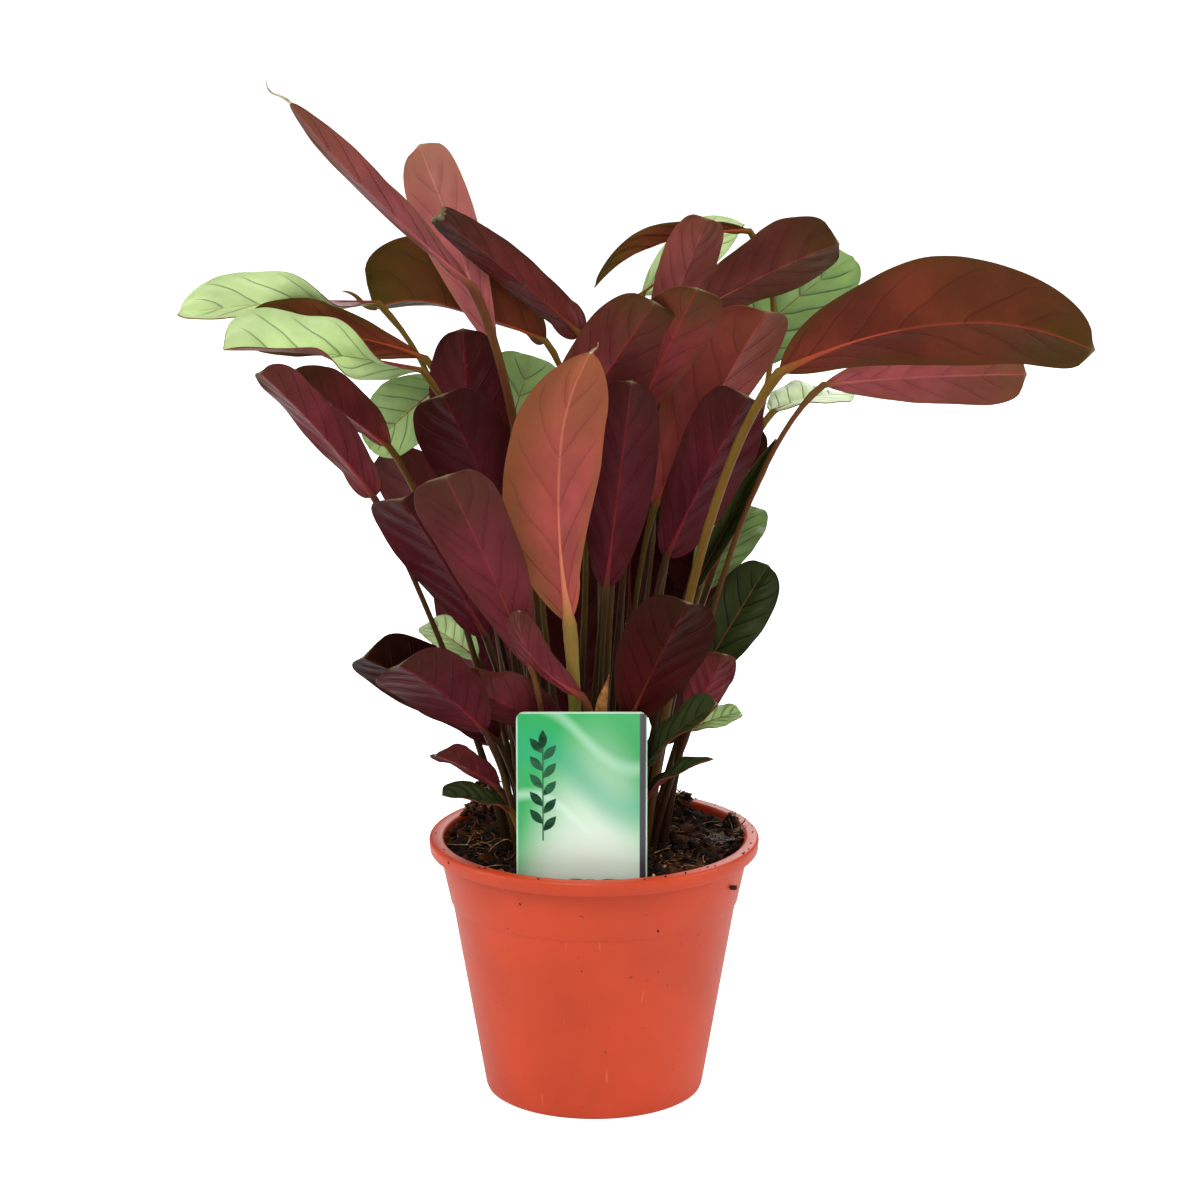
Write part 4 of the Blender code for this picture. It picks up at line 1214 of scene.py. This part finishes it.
def block(name, low, high):
    """A box between two corners in mm, with its place in its mesh."""
    deselect()
    middle = (Vector(low) + Vector(high)) * (0.5 * MM)
    bpy.ops.mesh.primitive_cube_add(size=1.0, location=middle)
    item = bpy.context.object
    item.name = name
    item.scale = (Vector(high) - Vector(low)) * MM
    settle(item)
    return item


def label_card(front, back):
    """The card, with its four corners rounded as they are seen from the front."""
    half = LABEL_WIDTH / 2.0
    card = block("card", (LABEL_X - half, front, LABEL_BOTTOM), (LABEL_X + half, back, LABEL_TOP))
    with edit_mode("DESELECT"):
        bpy.ops.mesh.select_mode(type="EDGE")
    for edge in card.data.edges:
        first, second = (card.data.vertices[i].co for i in edge.vertices)
        edge.select = abs(first.x - second.x) < 1e-6 and abs(first.z - second.z) < 1e-6
    with edit_mode():
        bpy.ops.mesh.bevel(offset=LABEL_CORNER * MM, segments=8, affect="EDGES")
    return card


def label_stake(front, back):
    """The stake, pulled to a point below."""
    half = STAKE_WIDTH / 2.0
    top = LABEL_BOTTOM + 1.0
    stake = block("peg", (LABEL_X - half, front, STAKE_END), (LABEL_X + half, back, top))
    with edit_mode():
        bpy.ops.mesh.subdivide(number_cuts=1)
    for vertex in stake.data.vertices:
        if vertex.co.z < (STAKE_END + 1.0) * MM:
            vertex.co.z += STAKE_POINT * MM * abs(vertex.co.x / MM - LABEL_X) / half
    return stake


def leaflet_model(ink, length, width):
    """One printed leaflet, raised a little from the card: a disc pulled to a point at both ends."""
    deselect()
    bpy.ops.mesh.primitive_circle_add(vertices=20, radius=0.5 * MM, fill_type="NGON")
    leaflet = bpy.context.object
    for vertex in leaflet.data.vertices:
        share = vertex.co.x / MM + 0.5
        across = vertex.co.y / MM
        pinch = math.sin(math.pi * clamped(share)) ** 0.6
        vertex.co = Vector((share * length, 0.0, across * pinch * width)) * MM
    thicken(leaflet, 0.1 * MM, -1.0)
    apply_modifiers(leaflet)
    dress(leaflet, ink)
    return leaflet


def printed_sprig(front):
    """A stem with pairs of leaflets and one at its end."""
    ink = ink_material("dark print", (0.010, 0.150, 0.050))
    leaflet = leaflet_model(ink, 8.5, 3.6)
    low = (SPRIG_X - 0.3, front - 0.05, SPRIG_LOW)
    stem = block("stem", low, (SPRIG_X + 0.3, front + 0.05, SPRIG_HIGH))
    dress(stem, ink)
    spots = [(SPRIG_HIGH - 1.0, 90.0)]
    for i in range(SPRIG_PAIRS):
        rise = SPRIG_STEP * i
        spots += [(SPRIG_LOW + 4.0 + rise, 50.0), (SPRIG_LOW + 7.0 + rise, 130.0)]
    pieces = [stem]
    for height, angle in spots:
        pieces.append(copy_of(leaflet, (SPRIG_X, front, height), (0.0, math.radians(-angle), 0.0)))
    bpy.data.objects.remove(leaflet, do_unlink=True)
    return pieces


class PLANT_OT_label(bpy.types.Operator):
    """Cut the label card with its stake and print a plain sprig on it"""

    bl_idname = "plant.label"
    bl_label = "Plant label"

    def execute(self, context):
        settings = context.scene.plant_label
        front, back = LABEL_Y - LABEL_THICKNESS / 2.0, LABEL_Y + LABEL_THICKNESS / 2.0
        sheets = [label_card(front, back), label_stake(front + 0.1, back - 0.1)]
        printed = card_material(settings.dark, settings.light)
        for sheet in sheets:
            bevel = sheet.modifiers.new("edge", "BEVEL")
            bevel.width = 0.15 * MM
            bevel.segments = 2
            apply_modifiers(sheet)
            smooth(sheet, 40.0)
            dress(sheet, printed)
        label = join(sheets + printed_sprig(front), "sprig_label")
        settle(label)
        hand_over(label, "plant_label")
        return {"FINISHED"}


# ---------------------------------------------------------------- leaves


def compass(heading, rise):
    """A length of 1 in the way that heading and rise tell."""
    heading, rise = math.radians(heading), math.radians(rise)
    return Vector((*around(math.cos(rise), heading), math.sin(rise)))


def fan_place(leaf):
    """Where a stalk would stand if all of them fanned out from one deep point under the crown."""
    middle = Vector((CROWN_X, CROWN_Y))
    reach = Vector(leaf.foot[:2]) - middle
    return middle + reach * (FAN_DEPTH / (leaf.foot[2] - SOIL_HEIGHT + FAN_DEPTH))


def stalk_feet():
    """Each stalk's place in the crown: the fan's, pushed apart until no two crowd each other."""
    places = [fan_place(leaf) for leaf in LEAVES] + [Vector(SHEATH_FOOT)]
    for _ in range(SPACING_ROUNDS):
        for one, other in combinations(places, 2):
            apart = one - other
            short = STALK_SPACING - apart.length
            if short > 0.0:
                push = apart.normalized() * (short / 2.0)
                one += push
                other -= push
    names = [leaf.name for leaf in LEAVES] + ["dry_sheath"]
    return dict(zip(names, places))


def bezier(a, b, c, d, t):
    s = 1.0 - t
    return a * s ** 3 + b * (3 * s * s * t) + c * (3 * s * t * t) + d * t ** 3


class Blade:
    """The surface of one leaf's blade, told by across (-1 to 1) and along (v, 0 to 1)."""

    def __init__(self, leaf, settings, draw):
        self.leaf = leaf
        self.touch = TOUCHES.get(leaf.name, PLAIN_TOUCH)
        self.foot = Vector(leaf.foot)
        self.along = compass(leaf.heading, leaf.rise)
        look = compass(leaf.face, leaf.tilt)
        self.upper = (look - self.along * look.dot(self.along)).normalized()
        self.side = self.along.cross(self.upper)
        self.veins = settings.vein_count
        self.quilting = settings.quilting / MM * draw.uniform(0.8, 1.2) * self.touch.quilt
        self.wave = settings.margin_wave / MM * draw.uniform(0.6, 1.4) * self.touch.wave
        self.phase = draw.uniform(0.0, ANY_TURN)
        self.waves = draw.uniform(1.4, 2.6)
        self.lean = self.touch.lean + draw.uniform(-0.12, 0.12)
        self.uneven = self.touch.uneven + draw.uniform(-0.05, 0.05)
        self.fold_plus = leaf.fold + self.touch.plus + draw.uniform(-4.0, 4.0)
        self.fold_minus = leaf.fold + self.touch.minus + draw.uniform(-4.0, 4.0)
        self.edge_seed = draw.uniform(0.0, 50.0)

    def own_noise(self, x, y, shift=0.0):
        """Smooth noise, other for every blade."""
        return noise.noise(Vector((x, y, self.edge_seed + shift)))

    def midrib(self, v):
        leaf, touch = self.leaf, self.touch
        bow = 4.0 * v * (1.0 - v) * leaf.length
        droop = max(v - 0.65, 0.0) / 0.35
        point = self.foot + self.along * (v * leaf.length)
        point -= self.upper * (touch.hook * leaf.length * droop * droop)
        point += self.side * (touch.veer * leaf.length * droop * droop)
        return point + self.upper * (bow * leaf.arch) + self.side * (bow * leaf.sway)

    def direction(self, v):
        step = 0.01
        return (self.midrib(min(v + step, 1.0)) - self.midrib(max(v - step, 0.0))).normalized()

    def half_width(self, v, sign):
        """Oblong, widest where start and end put it, with a short narrow point."""
        touch = self.touch
        start, end = touch.start, touch.end * (1.0 - self.lean * sign)
        peak = (start / (start + end)) ** start * (end / (start + end)) ** end
        body = 0.0
        reach = 1.0 if touch.torn else 0.988
        if 0.0 < v < reach:
            w = v / reach * (0.93 if touch.torn else 1.0)
            body = self.leaf.width / 2.0 * (w ** start) * ((1.0 - w) ** end) / peak
            body *= 1.0 + self.uneven * sign
            body *= 1.0 + 0.035 * self.own_noise(v * 5.0, sign * 3.0)
        point = min(0.8 * (1.0 - v) / 0.04, 0.8) if v > 0.5 else 0.9
        return max(body, point, 0.12)

    def frame(self, v):
        """The way to the plus side and the way that the upper side looks, twisted as the touch says."""
        ahead = self.direction(v)
        side = ahead.cross(self.upper).normalized()
        upper = side.cross(ahead)
        near = clamped((0.62 - v) / 0.42)
        near = near * near * (3.0 - 2.0 * near)
        turn = math.radians(self.touch.turn_foot * near + self.touch.turn_tip * v * v)
        if turn:
            side, upper = (
                side * math.cos(turn) + upper * math.sin(turn),
                upper * math.cos(turn) - side * math.sin(turn),
            )
        return side, upper

    def relief(self, across, v, half):
        """How far the blade swells above its fold: quilting, groove, waves, rumples and crown."""
        out = abs(across)
        sign = 1.0 if across > 0 else -1.0
        body = min(half / (self.leaf.width / 2.0), 1.0)
        run = v - VEIN_SWEEP * out ** VEIN_BEND
        quilt = self.quilting * math.cos(2.0 * math.pi * self.veins * run)
        quilt *= math.sin(math.pi * out ** 0.7) * body
        groove = -0.45 * math.exp(-((out * half / 1.3) ** 2)) * body
        wave = self.wave * math.sin(2.0 * math.pi * self.waves * v + self.phase + 1.3 * sign)
        wave *= out ** 2.5 * body
        wide = 0.8 * self.own_noise(across * 1.6, v * 4.0) * out
        fine = 0.55 * self.own_noise(across * 2.2, run * 11.0, 9.0) * math.sqrt(out)
        crown = 0.07 * half * math.sin(math.pi * out)
        return quilt + groove + wave + (wide + fine) * body * self.touch.quilt + crown

    def point(self, across, v):
        side, upper = self.frame(v)
        out = abs(across)
        half = self.half_width(v, 1.0 if across > 0 else -1.0)
        ease = min(v / 0.15, 1.0)
        angle = self.fold_plus if across > 0 else self.fold_minus
        angle = math.radians(angle * ease + self.touch.curl * ease * out * 0.5)
        middle = self.midrib(v)
        if self.touch.torn and v > 0.85:
            ragged = 0.5 + self.own_noise(across * 3.2, 0.0)
            middle = middle - self.along * (self.touch.torn * ragged * (v - 0.85) / 0.15)
        height = half * out * math.sin(angle) + self.relief(across, v, half)
        return middle + side * (half * across * math.cos(angle)) + upper * height

    def dryness(self, v):
        """How dry the blade is: torn tips are straw-coloured at the very edge."""
        if self.touch.torn:
            return 0.45 * clamped((v - 0.975) / 0.02)
        return clamped((v - 0.985) / 0.015, 0.5)


def add_blade(blade, leaf, settings, shade):
    """A grid bent into the blade, then thickened with the underside as its own skin."""
    bpy.ops.mesh.primitive_grid_add(x_subdivisions=BLADE_ACROSS, y_subdivisions=BLADE_ALONG, size=2.0)
    item = bpy.context.object
    dry = []
    for vertex in item.data.vertices:
        across, v = vertex.co.x, (vertex.co.y + 1.0) / 2.0
        eased = v - 0.04 * math.sin(2.0 * math.pi * v) / math.pi
        across = math.copysign(abs(across) ** 1.1, across)
        vertex.co = blade.point(across, eased) * MM
        dry.append(blade.dryness(eased))
    mark_points(item, "leaf_shade", [shade] * len(dry))
    mark_points(item, "leaf_dry", dry)
    tone_name = LEAF_TONES.get(leaf.name, leaf.tone)
    upper = upper_material(UPPER_KINDS.get(leaf.name, TONES[tone_name].upper), settings.vein_count)
    dress(item, upper, underside_material(tone_name, settings.vein_count))
    solid = thicken(item, settings.thickness, -1.0)
    solid.material_offset = 1
    solid.material_offset_rim = 1
    apply_modifiers(item)
    smooth(item)
    return item


def add_tube(name, points, radii, shares=None, sides_each_quarter=2):
    """A curve with a radius at every point, made a mesh; shares become its leaf_rib attribute."""
    curve = bpy.data.curves.new(name, "CURVE")
    curve.dimensions = "3D"
    curve.bevel_depth = MM
    curve.bevel_resolution = sides_each_quarter
    curve.use_fill_caps = True
    spline = curve.splines.new("POLY")
    spline.points.add(len(points) - 1)
    for spot, place, radius in zip(spline.points, points, radii):
        spot.co = (*(place * MM), 1.0)
        spot.radius = radius
    item = bpy.data.objects.new(name, curve)
    bpy.context.scene.collection.objects.link(item)
    activate(item)
    bpy.ops.object.convert(target="MESH")
    tube = bpy.context.object
    with edit_mode("SELECT"):
        bpy.ops.mesh.remove_doubles(threshold=0.000002)
        bpy.ops.mesh.normals_make_consistent(inside=False)
    if shares:
        tree = kdtree.KDTree(len(points))
        for i, place in enumerate(points):
            tree.insert(place * MM, i)
        tree.balance()
        mark_points(tube, "leaf_rib", [shares[tree.find(vertex.co)[1]] for vertex in tube.data.vertices])
    return tube


def stalk_run(blade, place):
    """Centre line, radii and share of rib, from the soil up the stalk and on under the blade."""
    top = Vector((place.x, place.y, SOIL_HEIGHT + 1.0))
    reach = (blade.foot - top).length
    straight = (blade.foot - top).normalized()
    leave = (straight + Vector((0.0, 0.0, 1.0))).normalized()
    arrive = (straight + blade.direction(0.0)).normalized()
    first = top + leave * (0.25 * reach)
    last = blade.foot - arrive * (0.25 * reach)
    thick = STALK_RADIUS * blade.touch.stalk
    points, radii, shares = [Vector((place.x, place.y, STALK_BOTTOM))], [STALK_FOOT_RADIUS], [0.0]
    steps = 26
    for i in range(steps):
        share = i / steps
        points.append(bezier(top, first, last, blade.foot, share))
        slim = STALK_FOOT_RADIUS + (thick - STALK_FOOT_RADIUS) * min(share * 1.6, 1.0)
        # The stalk swells into its joint shortly before the blade
        swell = math.exp(-((((1.0 - share) * reach - 8.0) / 7.0) ** 2))
        radii.append(slim + (PULVINUS_RADIUS - STALK_RADIUS) * swell)
        shares.append(0.0)
    steps = 22
    for i in range(steps + 1):
        v = 0.94 * i / steps
        _, upper = blade.frame(v)
        radius = 1.15 * blade.touch.stalk * math.exp(-9.0 * v) + 0.30 * (1.0 - v) + 0.08
        points.append(blade.midrib(v) - upper * (0.5 + 0.1 * radius))
        radii.append(radius)
        shares.append(min(v / 0.12, 1.0))
    return points, radii, shares


def add_stalk(blade, place, tone_name):
    stalk = add_tube("stalk", *stalk_run(blade, place))
    dress(stalk, stalk_material(tone_name))
    smooth(stalk)
    return stalk


def add_wisp(blade):
    """The dry thread that is left at the tip of an unrolled leaf; an olive leaf's is thicker and darker."""
    if blade.leaf.tone == "olive":
        thick, tissue = 1.5, stalk_material("dusk")
    else:
        thick, tissue = 0.55, wisp_material()
    place, ahead = blade.midrib(0.985), blade.direction(0.98)
    turn = math.copysign(0.16, blade.touch.wisp)
    points, radii = [], []
    steps = 14
    for i in range(steps + 1):
        points.append(place.copy())
        radii.append(thick * (1.0 - i / steps) ** 0.7 + 0.10)
        bend = blade.side * turn * (1.0 if i < steps / 2 else -1.2)
        ahead = (ahead + bend + Vector((0.0, 0.0, 0.05))).normalized()
        place += ahead * (abs(blade.touch.wisp) / steps)
    wisp = add_tube("wisp", points, radii)
    dress(wisp, tissue)
    smooth(wisp)
    return wisp


class PLANT_OT_leaves(bpy.types.Operator):
    """Grow every leaf: stalk, swollen joint, midrib and blade"""

    bl_idname = "plant.leaves"
    bl_label = "Leaves"

    def execute(self, context):
        settings = context.scene.plant_leaf
        feet = stalk_feet()
        for number, leaf in enumerate(LEAVES):
            draw = random.Random(100 + number)
            blade = Blade(leaf, settings, draw)
            pieces = [
                add_blade(blade, leaf, settings, draw.uniform(0.25, 0.85)),
                add_stalk(blade, feet[leaf.name], LEAF_TONES.get(leaf.name, leaf.tone)),
            ]
            if blade.touch.wisp:
                pieces.append(add_wisp(blade))
            whole = join(pieces, leaf.name.replace("leaf_", "grown_leaf_"))
            hand_over(whole, leaf.name)
        return {"FINISHED"}


class PLANT_OT_sheath(bpy.types.Operator):
    """Dry the old sheath: a papery strip with a curled, torn top"""

    bl_idname = "plant.sheath"
    bl_label = "Dry sheath"

    def execute(self, context):
        place = stalk_feet()["dry_sheath"]
        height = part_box("dry_sheath")[1][2] / MM - STALK_BOTTOM
        bpy.ops.mesh.primitive_grid_add(x_subdivisions=8, y_subdivisions=40, size=2.0)
        sheath = bpy.context.object
        for vertex in sheath.data.vertices:
            across, share = vertex.co.x, (vertex.co.y + 1.0) / 2.0
            top = max(share - 0.62, 0.0) / 0.38
            half = 1.0 + 1.9 * math.sin(math.pi * top ** 1.6)
            half *= max(1.0 - top ** 3, 0.06)
            roll = math.radians(70.0 + 30.0 * top) * across
            crease = 0.35 * noise.noise(Vector((across * 2.0, share * 14.0, 1.0)))
            bend = 2.6 * math.sin(math.pi * 1.1 * top)
            x = place.x + half * math.sin(roll) + 1.6 * top - bend * 0.8
            y = place.y + half * (1.0 - math.cos(roll)) * 1.1 - 2.0 * top * top + crease
            ragged = 0.8 * noise.noise(Vector((across * 3.0, 0.0, 4.0))) * share ** 6
            vertex.co = Vector((x, y, STALK_BOTTOM + height * share + ragged)) * MM
        thicken(sheath, 0.35 * MM, 0.0)
        apply_modifiers(sheath)
        smooth(sheath)
        sheath.name = "papery_sheath"
        dress(sheath, earth_material("dry sheath", (0.15, 0.045, 0.012), (0.62, 0.27, 0.085), 130.0, 0.75))
        hand_over(sheath, "dry_sheath")
        return {"FINISHED"}


# ---------------------------------------------------------------- stage


def add_lamp(name, place, aim, size, power):
    data = bpy.data.lights.new(name, "AREA")
    data.shape = "DISK"
    data.size = size
    data.energy = power
    lamp = bpy.data.objects.new(name, data)
    lamp.location = place
    lamp.rotation_euler = (Vector((0.0, 0.0, aim)) - Vector(place)).to_track_quat("-Z", "Y").to_euler()
    bpy.context.scene.collection.objects.link(lamp)


def add_camera():
    data = bpy.data.cameras.new("camera")
    data.lens = CAMERA_LENS
    data.sensor_width = CAMERA_SENSOR
    camera = bpy.data.objects.new("camera", data)
    camera.location = CAMERA_PLACE
    camera.rotation_euler = (math.radians(90.0 - CAMERA_DIP), 0.0, 0.0)
    bpy.context.scene.collection.objects.link(camera)
    bpy.context.scene.camera = camera


def floor_material(tint):
    """A pale floor that the camera sees lit from within, with hardly a shadow."""
    material, nodes, shader = new_material("studio floor")
    soft = nodes.noise(nodes.object_place(), 2.0)
    nodes.fill(shader, {
        "Base Color": nodes.mix(soft, scaled(tint, 0.98), tint),
        "Roughness": 0.9,
        "Emission Color": (1.0, 1.0, 1.0),
        "Emission Strength": nodes.times_plus(nodes.seen_by_camera(), 0.95, 0.03),
    })
    return material


def white_room():
    """A world that looks white and lights softly."""
    world = bpy.data.worlds.new("white room")
    world.use_nodes = True
    nodes = Nodes(world.node_tree)
    nodes.fill(world.node_tree.nodes["Background"], {
        "Color": (1.0, 1.0, 1.0),
        "Strength": nodes.times_plus(nodes.seen_by_camera(), 0.82, 0.20),
    })
    return world


class PLANT_OT_stage(bpy.types.Operator):
    """Set the floor, the lamps, the white room and the camera"""

    bl_idname = "plant.stage"
    bl_label = "Stage"

    def execute(self, context):
        settings = context.scene.plant_stage
        bpy.ops.mesh.primitive_plane_add(size=STUDIO_FLOOR_SIZE, location=(0.0, 0.0, 0.0))
        floor = bpy.context.object
        floor.name = "studio_floor"
        dress(floor, floor_material(settings.floor))
        context.scene.world = white_room()
        for name, place, aim, size, share in LAMPS:
            add_lamp(name, place, aim, size, settings.key_power * share)
        add_camera()
        context.scene.view_settings.view_transform = "Standard"
        return {"FINISHED"}


class PLANT_PT_panel(bpy.types.Panel):
    """Lists the plant's operators and settings"""

    bl_idname = "PLANT_PT_panel"
    bl_label = "Potted ctenanthe"
    bl_space_type = "VIEW_3D"
    bl_region_type = "UI"
    bl_category = "Plant"

    def draw(self, context):
        for operator in OPERATORS:
            self.layout.operator(operator.bl_idname)
        for name in SETTINGS:
            group = getattr(context.scene, name)
            for key in group.bl_rna.properties.keys():
                if key not in ("rna_type", "name"):
                    self.layout.prop(group, key)


OPERATORS = (PLANT_OT_stage, PLANT_OT_pot, PLANT_OT_soil, PLANT_OT_label, PLANT_OT_leaves, PLANT_OT_sheath)
SETTINGS = {
    "plant_pot": PotSettings,
    "plant_soil": SoilSettings,
    "plant_label": LabelSettings,
    "plant_leaf": LeafSettings,
    "plant_stage": StageSettings,
}
CLASSES = (*SETTINGS.values(), *OPERATORS, PLANT_PT_panel)


def register():
    for kind in CLASSES:
        bpy.utils.register_class(kind)
    for name, group in SETTINGS.items():
        setattr(bpy.types.Scene, name, PointerProperty(type=group))


def unregister():
    for name in SETTINGS:
        delattr(bpy.types.Scene, name)
    for kind in reversed(CLASSES):
        bpy.utils.unregister_class(kind)


def main():
    register()
    bpy.ops.plant.stage()
    bpy.ops.plant.pot()
    bpy.ops.plant.soil()
    bpy.ops.plant.label()
    bpy.ops.plant.leaves()
    bpy.ops.plant.sheath()


if __name__ == "__main__":
    main()
